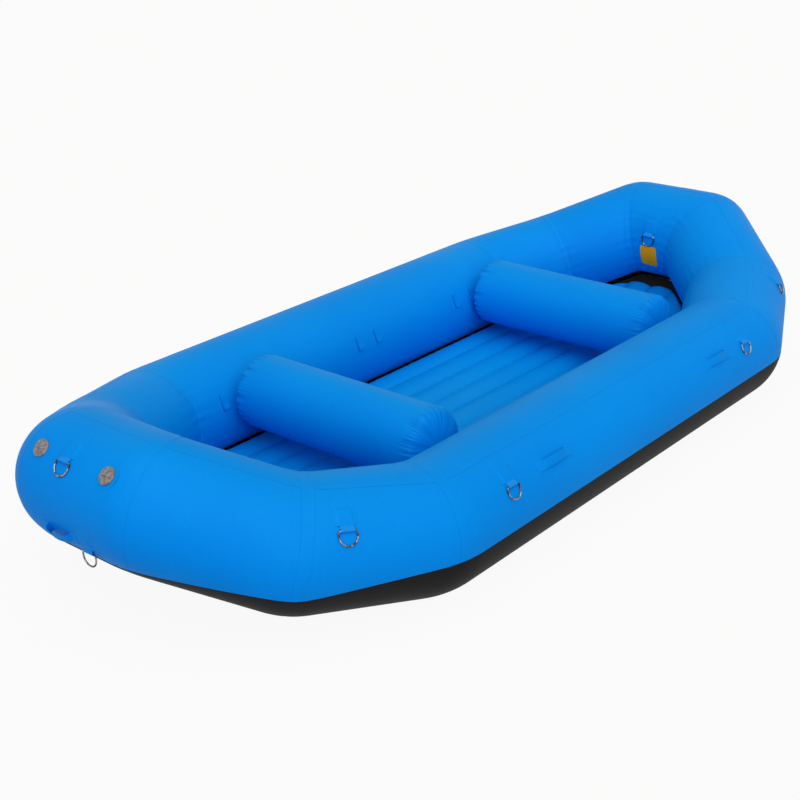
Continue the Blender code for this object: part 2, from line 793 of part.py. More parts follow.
def makePlug(name, place):
    """A screw-in valve plug: its low flange and the barrel below it."""
    profile = [
        (0.0, PLUG_HEIGHT),
        (PLUG_TOP_RADIUS, PLUG_HEIGHT),
        (PLUG_RADIUS, PLUG_FLANGE),
        (PLUG_RADIUS, 0.0),
        (PLUG_BARREL_RADIUS, 0.0),
        (PLUG_BARREL_RADIUS, -PLUG_DEPTH),
        (0.0, -PLUG_DEPTH),
    ]
    part = addPart(name, turnedMesh(name, profile, False), "grey_valve_plastic", place)
    turn(part, PLUG_STEPS)


# D-rings, each on its own webbing


def spanFrame(end, side, span, setback, inboard=False):
    """A point on the centre line, a distance short of a span's far corner.

    It comes with the span's direction and the directions outboard and up across it.
    """
    corners = centreLine(end, side)
    a, b = corners[span], corners[span + 1]
    along = (b - a).normalized()
    up = Vector((0.0, 0.0, 1.0))
    up = (up - along * up.dot(along)).normalized()
    out = along.cross(up)
    middle = (a + b) / 2
    if out.dot(Vector((middle.x, middle.y, 0.0))) < 0:
        out = -out
    if inboard:
        out = -out
    return b - along * setback, along, out, up


PATCH_BASE = (SKIN_CORNER + GAP) / math.cos(math.radians(PATCH_STEP / 2))
EYE_OUTER = WIRE_RADIUS + BAR_CLEARANCE + WEB_WALL
BAR_RADIUS = PATCH_BASE + PATCH_WALL + EYE_OUTER - WEB_WALL / 2
RING_REACH = RING_LEG + RING_HALF_WIDTH


def arcPoints(centre, radius, first, last, count):
    points = []
    for i in range(count):
        angle = math.radians(first + (last - first) * i / (count - 1))
        points.append(
            (centre[0] + radius * math.cos(angle), centre[1] + radius * math.sin(angle))
        )
    return points


def keeperOutlines():
    """Side view of the webbing: (up the tube's skin, out from the tube's centre)."""
    middle = (0.0, 0.0)
    count = round((PATCH_UP + PATCH_DOWN) / PATCH_STEP) + 1
    base = arcPoints(middle, PATCH_BASE, 90 + PATCH_DOWN, 90 - PATCH_UP, count)
    top = PATCH_BASE + PATCH_WALL
    bar = (0.0, BAR_RADIUS)
    back = arcPoints(middle, top, 90 - PATCH_UP, 90 - PATCH_STEP, count - 2)
    eye = arcPoints(bar, EYE_OUTER, EYE_START, EYE_END, EYE_POINTS)
    toe = arcPoints(middle, top, 90 + PATCH_DOWN / 2, 90 + PATCH_DOWN, 2)
    outline = base + back + eye + toe
    holeRadius = (WIRE_RADIUS + BAR_CLEARANCE) / math.cos(math.pi / EYE_HOLE_SIDES)
    hole = arcPoints(bar, holeRadius, 0, 360 - 360 / EYE_HOLE_SIDES, EYE_HOLE_SIDES)
    return outline, hole


def ringCurve():
    """The D, with its bar along local X and its bow along local +Y."""
    curve = bpy.data.curves.new("d_ring", "CURVE")
    curve.dimensions = "3D"
    curve.bevel_depth = WIRE_RADIUS
    curve.bevel_resolution = RING_WIRE_RESOLUTION
    inner = RING_HALF_WIDTH - RING_CORNER
    points = arcPoints((inner, RING_CORNER), RING_CORNER, -90, 0, RING_CORNER_POINTS)
    points += arcPoints((0.0, RING_LEG), RING_HALF_WIDTH, 0, 180, RING_BOW_POINTS)
    points += arcPoints((-inner, RING_CORNER), RING_CORNER, 180, 270, RING_CORNER_POINTS)
    addSpline(curve, points)
    return curve


def restingTilt(elevation):
    """Angle from the tube's tangent to the hanging ring: against the skin, or plumb."""
    touch = SKIN_CORNER + GAP + WIRE_RADIUS
    rise = BAR_RADIUS**2 + RING_REACH**2 - touch**2
    against = -math.asin(rise / (2 * RING_REACH * BAR_RADIUS))
    plumb = math.radians(elevation - 90)
    return max(against, plumb)


def makeRing(label, frame, elevation):
    centre, _, out, up = frame
    angle = math.radians(elevation)
    radial = out * math.sin(angle) + up * math.cos(angle)
    upSkin = up * math.sin(angle) - out * math.cos(angle)
    outlines = keeperOutlines()
    name = f"{label}_webbing"
    mesh = extrudedMesh(name, outlines, WEB_WIDTH)
    addPart(name, mesh, "blue_webbing", frameMatrix(centre, upSkin, radial))

    tilt = restingTilt(elevation)
    reach = radial * math.sin(tilt) - upSkin * math.cos(tilt)
    bar = reach.cross(radial).normalized()
    name = f"{label}_ring"
    place = frameMatrix(centre + radial * BAR_RADIUS, bar, reach)
    addPart(name, meshFromCurve(name, ringCurve()), "stainless_steel", place)


# Handles


def handleOutline(length, pad, rise):
    """Side view of a strap: flat pads, and an arch that stands off the skin."""
    low = SKIN_CORNER + GAP
    half = length / 2
    span = half - pad
    arch = []
    for i in range(HANDLE_ARCH_STEPS + 1):
        share = i / HANDLE_ARCH_STEPS
        x = span * (2 * share - 1)
        arch.append((x, low + rise * math.sin(math.pi * share) ** HANDLE_ARCH_SHAPE))
    under = [(-half, low)] + arch + [(half, low)]
    over = [(x, y + HANDLE_WALL) for x, y in reversed(under)]
    return under + over


def makeHandle(name, frame, elevation, sizes):
    centre, along, out, up = frame
    angle = math.radians(elevation)
    radial = out * math.sin(angle) + up * math.cos(angle)
    mesh = extrudedMesh(name, [handleOutline(**sizes)], HANDLE_WIDTH)
    addPart(name, mesh, "blue_webbing", frameMatrix(centre, along, radial))


SIDE_SPAN = 0
QUARTER_SPAN = 1
END_SPAN = 3


def acrossEnd(end, y, inboard=False):
    side = 1 if y >= 0 else -1
    return spanFrame(end, side, END_SPAN, abs(y), inboard)


# Assembly

for endName, end in FITTING_ENDS.items():
    for sideName, side in FITTING_SIDES.items():
        label = f"{endName}_{sideName}"
        makeChamber(f"chamber_{label}", end, side)
        makeValveBody(label, valveMatrix(end, side))
        makePlunger(label, valveMatrix(end, side))
        makeCap(label, valveMatrix(end, side))

crosswise = Vector((0.0, 1.0, 0.0))
lengthwise = Vector((1.0, 0.0, 0.0))
for endName, end in FITTING_ENDS.items():
    makeBaffle(f"baffle_{endName}", centreLine(end, 1)[-1], crosswise)
for sideName, side in FITTING_SIDES.items():
    makeBaffle(f"baffle_{sideName}", centreLine(1, side)[0], lengthwise)
    makeBand(f"chafe_band_{sideName}", side)

makeFloor()
makeCurtain()
for name, end in FLOOR_VALVE_ENDS.items():
    makePlug(name, plugMatrixOnFloor(end))

for name, (end, toBend) in THWARTS.items():
    x = end * (SIDE_HALF - toBend - THWART_RADIUS)
    makeThwart(name, x)
    makePlug(f"{name}_valve", thwartValveMatrix(x))

for endName, end in FITTING_ENDS.items():
    for sideName, side in FITTING_SIDES.items():
        label = f"{endName}_{sideName}"
        quarterPlace = spanFrame(end, side, QUARTER_SPAN, QUARTER_RING["setback"])
        makeRing(f"{label}_quarter", quarterPlace, QUARTER_RING["elevation"])
        sidePlace = spanFrame(end, side, SIDE_SPAN, SIDE_RING["setback"])
        makeRing(f"{label}_side", sidePlace, SIDE_RING["elevation"])
        grabPlace = spanFrame(end, side, SIDE_SPAN, GRAB_SETBACK[endName])
        makeHandle(f"{label}_handle", grabPlace, GRAB_ELEVATION, GRAB_STRAP)
    carryPlace = acrossEnd(end, CARRY_Y[endName])
    makeHandle(f"{endName}_handle", carryPlace, CARRY_ELEVATION, CARRY_STRAP)

for label, ring in END_RINGS.items():
    makeRing(label, acrossEnd(ring["end"], ring["y"], ring["inboard"]), ring["elevation"])
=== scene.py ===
# Self-bailing raft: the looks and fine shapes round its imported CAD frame.
# Metres. +Z is up, the bow points along -X and port is -Y. The chafe band rests on z = 0.

import math

import bmesh
import bpy
import numpy as np
from mathutils import Matrix, Vector


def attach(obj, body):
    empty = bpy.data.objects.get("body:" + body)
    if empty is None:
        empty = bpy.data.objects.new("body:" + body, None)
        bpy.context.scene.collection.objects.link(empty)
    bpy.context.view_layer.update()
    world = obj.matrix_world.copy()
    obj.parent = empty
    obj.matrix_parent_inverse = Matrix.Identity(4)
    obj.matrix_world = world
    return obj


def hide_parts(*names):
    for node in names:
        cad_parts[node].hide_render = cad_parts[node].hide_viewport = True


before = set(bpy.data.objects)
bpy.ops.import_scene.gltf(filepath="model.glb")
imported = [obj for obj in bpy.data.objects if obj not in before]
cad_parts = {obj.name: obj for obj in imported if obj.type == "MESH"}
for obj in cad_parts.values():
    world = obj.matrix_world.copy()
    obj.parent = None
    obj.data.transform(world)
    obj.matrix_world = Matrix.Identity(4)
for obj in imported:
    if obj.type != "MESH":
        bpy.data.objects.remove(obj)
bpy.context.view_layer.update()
print("frame loaded")

ends = {"bow": -1, "stern": 1}
sides = {"port": -1, "starboard": 1}
quarters = [(f"{e}_{s}", end, side) for e, end in ends.items() for s, side in sides.items()]


def newObject(name, data):
    # An object with this data, in the scene.
    made = bpy.data.objects.new(name, data)
    bpy.context.scene.collection.objects.link(made)
    return made


# Camera, fitted to the photo

camera = {
    "place": (-4.5396, -3.6342, 2.7047),
    "turn": (66.4358, 1.6261, -49.5471),
    "lens": 62.4509,
    "farClip": 100,
}


def addCamera():
    data = bpy.data.cameras.new("photoView")
    data.lens = camera["lens"]
    data.clip_end = camera["farClip"]
    made = newObject("photoView", data)
    made.location = camera["place"]
    made.rotation_euler = [math.radians(a) for a in camera["turn"]]
    bpy.context.scene.camera = made


addCamera()
print("camera set")


# Meshes from grids of points

meshRules = {"uvStep": 0.002, "doubles": 0.000001, "sharp": 40}


def gridPart(points, wrap=(False, False), uv=None, edge=0.0):
    # A rows x columns grid of points as quads. A wrapped direction joins its last line to its first.
    # Without UVs each quad counts as one step square. Edge is painted shade: how dark each point is
    # painted.
    rows, cols = points.shape[:2]
    i = np.arange(rows if wrap[0] else rows - 1)[:, None]
    j = np.arange(cols if wrap[1] else cols - 1)[None, :]
    nextI = (i + 1) % rows
    nextJ = (j + 1) % cols
    numbers = [i * cols + j, nextI * cols + j, nextI * cols + nextJ, i * cols + nextJ]
    quads = np.stack(np.broadcast_arrays(*numbers), -1).reshape(-1, 4)
    if uv is None:
        step = meshRules["uvStep"]
        uv = gridUv(np.arange(rows + 1) * step, np.arange(cols + 1) * step)
    loops = [uv[i, j], uv[i + 1, j], uv[i + 1, j + 1], uv[i, j + 1]]
    return {
        "points": points.reshape(-1, 3),
        "quads": quads,
        "uv": np.stack(loops, 2).reshape(-1, 4, 2),
        "edge": np.broadcast_to(edge, (rows, cols)).reshape(-1),
    }


def gridUv(first, second):
    # UVs of a grid from a value for each row line and each column line, both in metres.
    return np.stack(np.broadcast_arrays(first[:, None], second[None, :]), -1)


def moved(part, matrix):
    # The part carried by a 4 x 4 matrix.
    return dict(part, points=part["points"] @ matrix[:3, :3].T + matrix[:3, 3])


def placeMatrix(origin, first, second):
    # Local X and Y along first and second, and Z along their cross product.
    matrix = np.eye(4)
    matrix[:3, 0] = first
    matrix[:3, 1] = second
    matrix[:3, 2] = np.cross(first, second)
    matrix[:3, 3] = origin
    return matrix


def addPiece(name, parts, material, body="hull", stands=(), sharp=meshRules["sharp"]):
    # One mesh of all parts, doubles merged and faces outward. UVs are metres along the surface.
    starts = np.cumsum([0] + [len(p["points"]) for p in parts])
    quads = np.concatenate([p["quads"] + s for p, s in zip(parts, starts)])
    points = np.concatenate([p["points"] for p in parts])
    mesh = bpy.data.meshes.new(name)
    mesh.from_pydata(points.tolist(), [], quads.tolist())
    uv = np.concatenate([p["uv"] for p in parts]).astype(np.float32)
    mesh.uv_layers.new(name="skin").data.foreach_set("uv", uv.ravel())
    # The edge attribute carries the painted shade of each point.
    edge = np.concatenate([p["edge"] for p in parts]).astype(np.float32)
    mesh.attributes.new("edge", "FLOAT", "POINT").data.foreach_set("value", edge)
    bm = bmesh.new()
    bm.from_mesh(mesh)
    bmesh.ops.remove_doubles(bm, verts=bm.verts, dist=meshRules["doubles"])
    bmesh.ops.recalc_face_normals(bm, faces=bm.faces)
    bm.to_mesh(mesh)
    bm.free()
    mesh.shade_smooth()
    mesh.set_sharp_from_angle(angle=math.radians(sharp))
    mesh.materials.append(material)
    piece = newObject(name, mesh)
    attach(piece, body)
    if stands:
        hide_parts(*stands)
    return piece


def unit(vector):
    # Each vector over its own length.
    return vector / np.linalg.norm(vector, axis=-1, keepdims=True)


def smooth(value, low, high):
    # 0 below low, 1 above high, and a smooth S between them.
    share = np.clip((value - low) / (high - low), 0, 1)
    return share * share * (3 - 2 * share)


def crowded(count, share=1.0):
    # Places from -1 to 1, closer together near both ends: (1 - share) * t + share * sin(pi t / 2).
    t = np.linspace(-1, 1, count)
    return (1 - share) * t + share * np.sin(t * math.pi / 2)


def turn(count, more=0):
    # Even angles round a full turn. With one more the first comes again at 360 degrees.
    return np.arange(count + more) * 2 * math.pi / count


def signedPower(value, power):
    # A power of the value's size, with the value's own sign.
    return np.sign(value) * np.abs(value) ** power


def turned(profile, steps):
    # The half section (radius, height) spun about Z. Ends on the axis close as poles.
    radius, height = np.asarray(profile, float).T
    angle = turn(steps)
    x = radius * np.cos(angle)[:, None]
    y = radius * np.sin(angle)[:, None]
    points = np.stack([x, y, np.broadcast_to(height, x.shape)], -1)
    along = np.concatenate([[0], np.cumsum(np.hypot(np.diff(radius), np.diff(height)))])
    around = turn(steps, 1) * radius.max()
    return gridPart(points, (True, False), gridUv(around, along))


def rounded(outline, radius, steps=3):
    # A polyline whose corners become arcs: (1-t)^2 start + 2t(1-t) corner + t^2 end.
    outline = np.asarray(outline, float)
    made = [outline[0]]
    for before, corner, after in zip(outline, outline[1:], outline[2:]):
        a, b = before - corner, after - corner
        start = corner + unit(a) * min(radius, np.linalg.norm(a) / 2)
        end = corner + unit(b) * min(radius, np.linalg.norm(b) / 2)
        t = np.linspace(0, 1, steps + 1)[:, None]
        made += list((1 - t) ** 2 * start + 2 * t * (1 - t) * corner + t**2 * end)
    made.append(outline[-1])
    return np.array(made)


def roundSection(radius, count):
    # Points (a, b) = radius * (cos, sin) round a circle.
    angle = turn(count)
    return radius * np.stack([np.cos(angle), np.sin(angle)], -1)


def strapSection(width, thick, count=24, flatness=8.0, edgePower=2.6):
    # A flat strap's section with rounded edges: |2a / width|^flatness + |2b / thick|^edgePower = 1.
    angle = turn(count)
    a = signedPower(np.cos(angle), 2 / flatness)
    b = signedPower(np.sin(angle), 2 / edgePower)
    return np.stack([a * width / 2, b * thick / 2], -1)


def swept(path, across, up, section, closed=True):
    # A closed section (a, b) carried along a path: point = path + a * across + b * up.
    # A path that isn't closed gets a pole at each end.
    points = path[:, None] + across[:, None] * section[:, :1] + up[:, None] * section[:, 1:]
    gaps = np.linalg.norm(np.diff(path, axis=0, append=path[:1]), axis=1)
    along = np.concatenate([[0], np.cumsum(gaps)])
    rim = np.linalg.norm(np.diff(section, axis=0, append=section[:1]), axis=1)
    around = np.concatenate([[0], np.cumsum(rim)])
    if not closed:
        poles = np.broadcast_to(path[:, None], points.shape)
        points = np.concatenate([poles[:1], points, poles[-1:]])
        along = np.concatenate([along[:1], along[:-1], along[-2:]])
    return gridPart(points, (closed, True), gridUv(along, around))


# Finishes. A Link is a node's output, and sums on it add Math nodes.


class Link:
    def __init__(self, finish, socket):
        self.finish = finish
        self.socket = socket

    def maths(self, operation, a, b=0.0):
        return self.finish.node("ShaderNodeMath", {"operation": operation}, {0: a, 1: b})

    def __add__(self, other):
        return self.maths("ADD", self, other)

    def __radd__(self, other):
        return self.maths("ADD", other, self)

    def __sub__(self, other):
        return self.maths("SUBTRACT", self, other)

    def __rsub__(self, other):
        return self.maths("SUBTRACT", other, self)

    def __mul__(self, other):
        return self.maths("MULTIPLY", self, other)

    def __rmul__(self, other):
        return self.maths("MULTIPLY", other, self)

    def sine(self):
        return self.maths("SINE", self)

    def size(self):
        return self.maths("ABSOLUTE", self)

    def ease(self, low, high):
        # 0 below low and 1 above high.
        settings = {"interpolation_type": "SMOOTHSTEP"}
        values = {"Value": self, "From Min": low, "From Max": high}
        return self.finish.node("ShaderNodeMapRange", settings, values)


class Finish:
    def __init__(self, owner):
        self.owner = owner
        owner.use_nodes = True
        self.tree = owner.node_tree
        self.tree.nodes.clear()

    def node(self, kind, settings=None, values=None, output=0):
        made = self.tree.nodes.new(kind)
        for key, value in (settings or {}).items():
            setattr(made, key, value)
        for key, value in (values or {}).items():
            if isinstance(value, Link):
                self.tree.links.new(value.socket, made.inputs[key])
            else:
                made.inputs[key].default_value = value
        return Link(self, made.outputs[output] if len(made.outputs) else None)

    def blend(self, share, a, b):
        # Colour a where share is 0 and b where it is 1.
        a, b = [(*c, 1.0) if isinstance(c, tuple) else c for c in (a, b)]
        return self.node("ShaderNodeMix", {"data_type": "RGBA"}, {0: share, 6: a, 7: b}, 2)

    def noise(self, where, scale, detail=3.0, roughness=0.55):
        values = {"Vector": where, "Scale": scale, "Detail": detail, "Roughness": roughness}
        return self.node("ShaderNodeTexNoise", None, values)

    def objectPlace(self):
        return self.node("ShaderNodeTexCoord", None, None, "Object")

    def uvPlace(self):
        # Metres along the piece's own two directions.
        where = self.node("ShaderNodeUVMap", {"uv_map": "skin"})
        return [self.node("ShaderNodeSeparateXYZ", None, {0: where}, i) for i in (0, 1)]

    def edge(self):
        # The painted shade at each point, read from the edge attribute.
        return self.node("ShaderNodeAttribute", {"attribute_name": "edge"}, None, "Fac")

    def bump(self, height, strength):
        return self.node("ShaderNodeBump", None, {"Height": height, "Strength": strength, "Distance": 1.0})

    def shade(self, values):
        shader = self.node("ShaderNodeBsdfPrincipled", None, values)
        self.node("ShaderNodeOutputMaterial", None, {"Surface": shader})
        return self.owner


def newFinish(name):
    return Finish(bpy.data.materials.new(name))


def coatedFabric(name, look):
    # Woven cloth under a soft plastic coat: threads as crossed sine waves, slow drifts of tone, and
    # painted shade where the edge attribute says.
    f = newFinish(name)
    u, v = f.uvPlace()
    wave = 2 * math.pi / look["pitch"]
    weave = (u * wave).sine() * (v * wave).sine()
    where = f.objectPlace()
    drift = f.noise(where, look["driftScale"])
    grain = f.noise(where, look["grainScale"], 2.0)
    share = (drift - 0.5) * look["drift"] + (grain - 0.5) * look["grain"] + look["deepShare"]
    body = f.blend(share, look["colour"], look["deep"])
    # Painted shade: the colour goes towards the painted shade colour as far as the edge attribute says.
    body = f.blend(f.edge() * look["edge"], body, look["paintedShadeColour"])
    height = weave * look["weaveHeight"] + grain * look["grainHeight"]
    return f.shade(
        {
            "Base Color": body,
            "Roughness": look["roughness"] + (drift - 0.5) * look["roughnessDrift"],
            "Specular IOR Level": look["specular"],
            "Normal": f.bump(height, look["bump"]),
        }
    )


skinLook = {
    "colour": (0.0, 0.280, 0.80),
    "deep": (0.0, 0.205, 0.71),
    "deepShare": 0.4,
    "pitch": 0.0022,
    "weaveHeight": 0.00003,
    "driftScale": 1.7,
    "drift": 0.8,
    "grainScale": 90.0,
    "grain": 0.4,
    "grainHeight": 0.00006,
    "roughness": 0.5,
    "roughnessDrift": 0.12,
    "specular": 0.04,
    # How strongly the edge attribute's painted shade darkens the skin, and the colour it darkens to.
    "edge": 0.55,
    "paintedShadeColour": (0.0, 0.06, 0.34),
    "bump": 0.6,
}
bluePvc = coatedFabric("bluePvc", skinLook)
blackPvc = coatedFabric(
    "blackPvc",
    dict(
        skinLook,
        colour=(0.028, 0.027, 0.027),
        deep=(0.014, 0.014, 0.014),
        paintedShadeColour=(0.006, 0.006, 0.006),
        roughness=0.55,
    ),
)
yellowPvc = coatedFabric(
    "yellowPvc",
    dict(
        skinLook,
        colour=(0.90, 0.44, 0.012),
        deep=(0.72, 0.31, 0.008),
        paintedShadeColour=(0.40, 0.20, 0.01),
        driftScale=25.0,
    ),
)


def rubberBand(name, look):
    # A dark band with a fine raised lozenge pattern, paler and rougher where it rubs.
    f = newFinish(name)
    u, v = f.uvPlace()
    wave = 2 * math.pi / look["pitch"]
    lozenge = ((u + v) * wave).sine() * ((u - v) * wave).sine()
    where = f.objectPlace()
    drift = f.noise(where, look["driftScale"])
    scuff = f.noise(where, look["scuffScale"], 6.0, 0.7)
    worn = scuff.ease(*look["wornFrom"])
    body = f.blend(drift, look["colour"], look["deep"])
    body = f.blend(worn * look["scuff"], body, look["scuffColour"])
    height = lozenge * look["height"] + scuff * look["scuffHeight"]
    return f.shade(
        {
            "Base Color": body,
            "Roughness": look["roughness"] + worn * look["wornRoughness"],
            "Specular IOR Level": look["specular"],
            "Normal": f.bump(height, look["bump"]),
        }
    )


blackBand = rubberBand(
    "blackBand",
    {
        "colour": (0.0098, 0.0092, 0.0095),
        "deep": (0.0060, 0.0058, 0.0060),
        "pitch": 0.006,
        "height": 0.00010,
        "driftScale": 2.5,
        "scuffScale": 14.0,
        "scuff": 0.5,
        "scuffColour": (0.022, 0.021, 0.021),
        "scuffHeight": 0.00025,
        "wornFrom": (0.52, 0.75),
        "wornRoughness": 0.12,
        "roughness": 0.62,
        "specular": 0.10,
        "bump": 0.7,
    },
)


def wovenStrap(name, look):
    # Webbing: ribs across the strap, each crossed by slanted threads, with painted shade in the weave's
    # low places.
    f = newFinish(name)
    u, v = f.uvPlace()
    rib = (u * (2 * math.pi / look["rib"])).sine()
    slant = ((u * 0.5 + v) * (2 * math.pi / look["thread"])).sine()
    height = rib * 0.5 + slant * 0.5
    fuzz = f.noise(f.objectPlace(), look["fuzzScale"], 4.0)
    # Painted shade: deep in the weave's low places, colour on its raised threads.
    body = f.blend(height.ease(*look["raised"]), look["deep"], look["colour"])
    body = f.blend(fuzz.ease(*look["fuzzFrom"]) * look["fuzz"], body, look["fuzzColour"])
    return f.shade(
        {
            "Base Color": body,
            "Roughness": look["roughness"] - height.size() * look["polish"],
            "Specular IOR Level": look["specular"],
            "Normal": f.bump(height * look["height"] + fuzz * look["fuzzHeight"], look["bump"]),
        }
    )


webLook = {
    "colour": (0.01, 0.31, 0.86),
    "deep": (0.0, 0.20, 0.66),
    "raised": (-0.7, 0.8),
    "rib": 0.0026,
    "thread": 0.0017,
    "height": 0.00018,
    "fuzz": 0.35,
    "fuzzFrom": (0.5, 0.8),
    "fuzzColour": (0.04, 0.36, 0.90),
    "fuzzScale": 220.0,
    "fuzzHeight": 0.0002,
    "roughness": 0.78,
    "polish": 0.1,
    "specular": 0.12,
    "bump": 0.8,
}
blueWebbing = wovenStrap("blueWebbing", webLook)
threadLook = dict(webLook, colour=(0.03, 0.34, 0.95), deep=(0.01, 0.22, 0.75), rib=0.0008)
blueThread = wovenStrap("blueThread", threadLook)


def metal(name, look):
    # Drawn wire: fine lines along it, and dull tarnished places.
    f = newFinish(name)
    where = f.objectPlace()
    dull = f.noise(where, look["dullScale"], 5.0).ease(*look["dullFrom"])
    lines = f.noise(where, look["lineScale"], 2.0)
    fine = (lines - 0.5) * look["lineRoughness"]
    return f.shade(
        {
            "Base Color": f.blend(dull, look["colour"], look["dull"]),
            "Metallic": 1.0,
            "Roughness": look["roughness"] + dull * look["dullRoughness"] + fine,
            "Normal": f.bump(lines * look["lineHeight"], look["bump"]),
        }
    )


steel = metal(
    "steel",
    {
        "colour": (0.33, 0.33, 0.35),
        "dull": (0.04, 0.04, 0.05),
        "dullScale": 60.0,
        "dullFrom": (0.38, 0.62),
        "dullRoughness": 0.16,
        "lineScale": 900.0,
        "lineHeight": 0.00002,
        "lineRoughness": 0.08,
        "roughness": 0.2,
        "bump": 0.5,
    },
)


def moulded(name, colour, deep, rubbed, roughness):
    # Moulded plastic: a fine spark-eroded grain and faint rubbed places.
    f = newFinish(name)
    where = f.objectPlace()
    grain = f.noise(where, plastic["grainScale"], 2.0)
    worn = f.noise(where, plastic["rubScale"], 5.0).ease(*plastic["rubFrom"])
    body = f.blend(worn * plastic["rub"], colour, rubbed)
    return f.shade(
        {
            "Base Color": f.blend(grain * plastic["grain"], body, deep),
            "Roughness": roughness - worn * plastic["polish"],
            "Specular IOR Level": plastic["specular"],
            "Normal": f.bump(grain * plastic["grainHeight"], plastic["bump"]),
        }
    )


plastic = {
    "grainScale": 1400.0,
    "grain": 0.25,
    "grainHeight": 0.00006,
    "rubScale": 80.0,
    "rubFrom": (0.42, 0.66),
    "rub": 0.8,
    "polish": 0.1,
    "specular": 0.45,
    "bump": 0.6,
    "grey": ((0.155, 0.140, 0.130), (0.07, 0.065, 0.06), (0.36, 0.335, 0.315), 0.36),
    "black": ((0.022, 0.021, 0.021), (0.012, 0.012, 0.012), (0.040, 0.038, 0.037), 0.45),
    "white": ((0.66, 0.66, 0.63), (0.5, 0.5, 0.47), (0.74, 0.73, 0.70), 0.4),
}
greyPlastic = moulded("greyPlastic", *plastic["grey"])
blackPlastic = moulded("blackPlastic", *plastic["black"])
whitePlastic = moulded("whitePlastic", *plastic["white"])
print("finishes made")


# The tube: a round section slid along a run of straight spans, with soft bends and puckers.
# A quarter runs from amidships over four spans to the middle of an end.

tube = {
    "radius": 0.25,
    "bandWall": 0.0015,
    "gap": 0.0003,
    "facets": 36,
    "sideHalf": 1.143,
    "quarterRun": 0.510,
    "quarterTurn": 24.6,
    "quarterRise": 0.067,
    "shoulderRun": 0.460,
    "shoulderTurn": 50.6,
    "shoulderRise": 0.169,
    "endHalf": 0.191,
    "skin": 0.2487,
    "rows": 160,
    "softOuter": 0.10,
    "softInner": 0.045,
    "pinch": 0.004,
    "creaseReach": 0.012,
    "pucker": 0.0016,
    "puckerWaves": (31, 43),
    "secondWave": 0.7,
    "puckerReach": 0.05,
    "bendColumns": (0, 4, 8, 13, 19, 26, 34, 43, 53, 64, 76, 90),  # millimetres from a bend
    "spanColumns": (18, 8, 8, 3),
}
skinCorner = (tube["radius"] - tube["bandWall"] - tube["gap"]) / math.cos(math.pi / tube["facets"])
bandCorner = tube["radius"] / math.cos(math.pi / tube["facets"])
nearBend = np.array(tube["bendColumns"]) / 1000


def centreLine():
    # Corners of the stern's starboard quarter, from amidships to the middle of the stern.
    quarter = math.radians(tube["quarterTurn"])
    shoulder = math.radians(tube["shoulderTurn"])
    quarterX = tube["sideHalf"] + tube["quarterRun"] * math.cos(quarter)
    shoulderX = quarterX + tube["shoulderRun"] * math.cos(shoulder)
    shoulderY = tube["endHalf"] + tube["shoulderRun"] * math.sin(shoulder)
    sideY = shoulderY + tube["quarterRun"] * math.sin(quarter)
    quarterZ = tube["radius"] + tube["quarterRise"]
    shoulderZ = quarterZ + tube["shoulderRise"]
    return np.array(
        [
            (0.0, sideY, tube["radius"]),
            (tube["sideHalf"], sideY, tube["radius"]),
            (quarterX, shoulderY, quarterZ),
            (shoulderX, tube["endHalf"], shoulderZ),
            (shoulderX, 0.0, shoulderZ),
        ]
    )


corners = centreLine()
directions = unit(np.diff(corners, axis=0))
mitres = np.array(
    [directions[0]]
    + [unit(a + b) for a, b in zip(directions, directions[1:])]
    + [(0.0, 1.0, 0.0)]
)
runs = np.concatenate([[0], np.cumsum(np.linalg.norm(np.diff(corners, axis=0), axis=1))])


def crossings(theta):
    # Where the line at angle theta round the tube meets each mitre plane, span after span.
    # Theta is 0 on top and 90 degrees outboard.
    outward = np.sin(theta)[..., None] * np.array([0.0, 1.0, 0.0])
    upward = np.cos(theta)[..., None] * np.array([0.0, 0.0, 1.0])
    point = corners[0] + tube["skin"] * (outward + upward)
    met = [point]
    for k in range(1, 5):
        along = directions[k - 1]
        reach = (corners[k] - point) @ mitres[k] / (along @ mitres[k])
        point = point + along * reach[..., None]
        met.append(point)
    return met


def tubeSurface(span, theta, fixed, share, lift):
    # Point at x = fixed + share * length along the line theta, raised by lift.
    # Near a bend the two straight runs a, b join as (b - a) / 2 * (w - x)^2 / (2 w).
    # Inboard the crease pinches in as exp(-(x / reach)^2), and puckers run away from it as sums of
    # cosines of theta that fade as exp(-x / reach).
    met = crossings(theta)
    length = np.linalg.norm(met[span + 1] - met[span], axis=-1)
    x = fixed + share * length
    point = met[span] + directions[span] * x[..., None]
    inboard = (1 - np.sin(theta)) / 2
    width = tube["softOuter"] + (tube["softInner"] - tube["softOuter"]) * inboard
    first, second = tube["puckerWaves"]
    raised = 0.0
    for k, away in ((span, x), (span + 1, length - x)):
        if k in (1, 2, 3):
            bend = (directions[k] - directions[k - 1]) / 2
            point = point + bend * (np.clip(width - away, 0, None) ** 2 / (2 * width))[..., None]
            other = tube["secondWave"] * np.cos(second * theta + 5 * k)
            waves = np.cos(first * theta + 2 * k) + other
            fade = np.exp(-away / tube["puckerReach"]) * smooth(away, 0.0, tube["creaseReach"])
            crease = np.exp(-((away / tube["creaseReach"]) ** 2))
            raised = raised + tube["pucker"] * waves * fade * inboard**2
            raised = raised - tube["pinch"] * inboard**2 * crease
    axis = corners[span] + directions[span] * ((point - corners[span]) @ directions[span])[..., None]
    return point + unit(point - axis) * (raised + lift)[..., None]


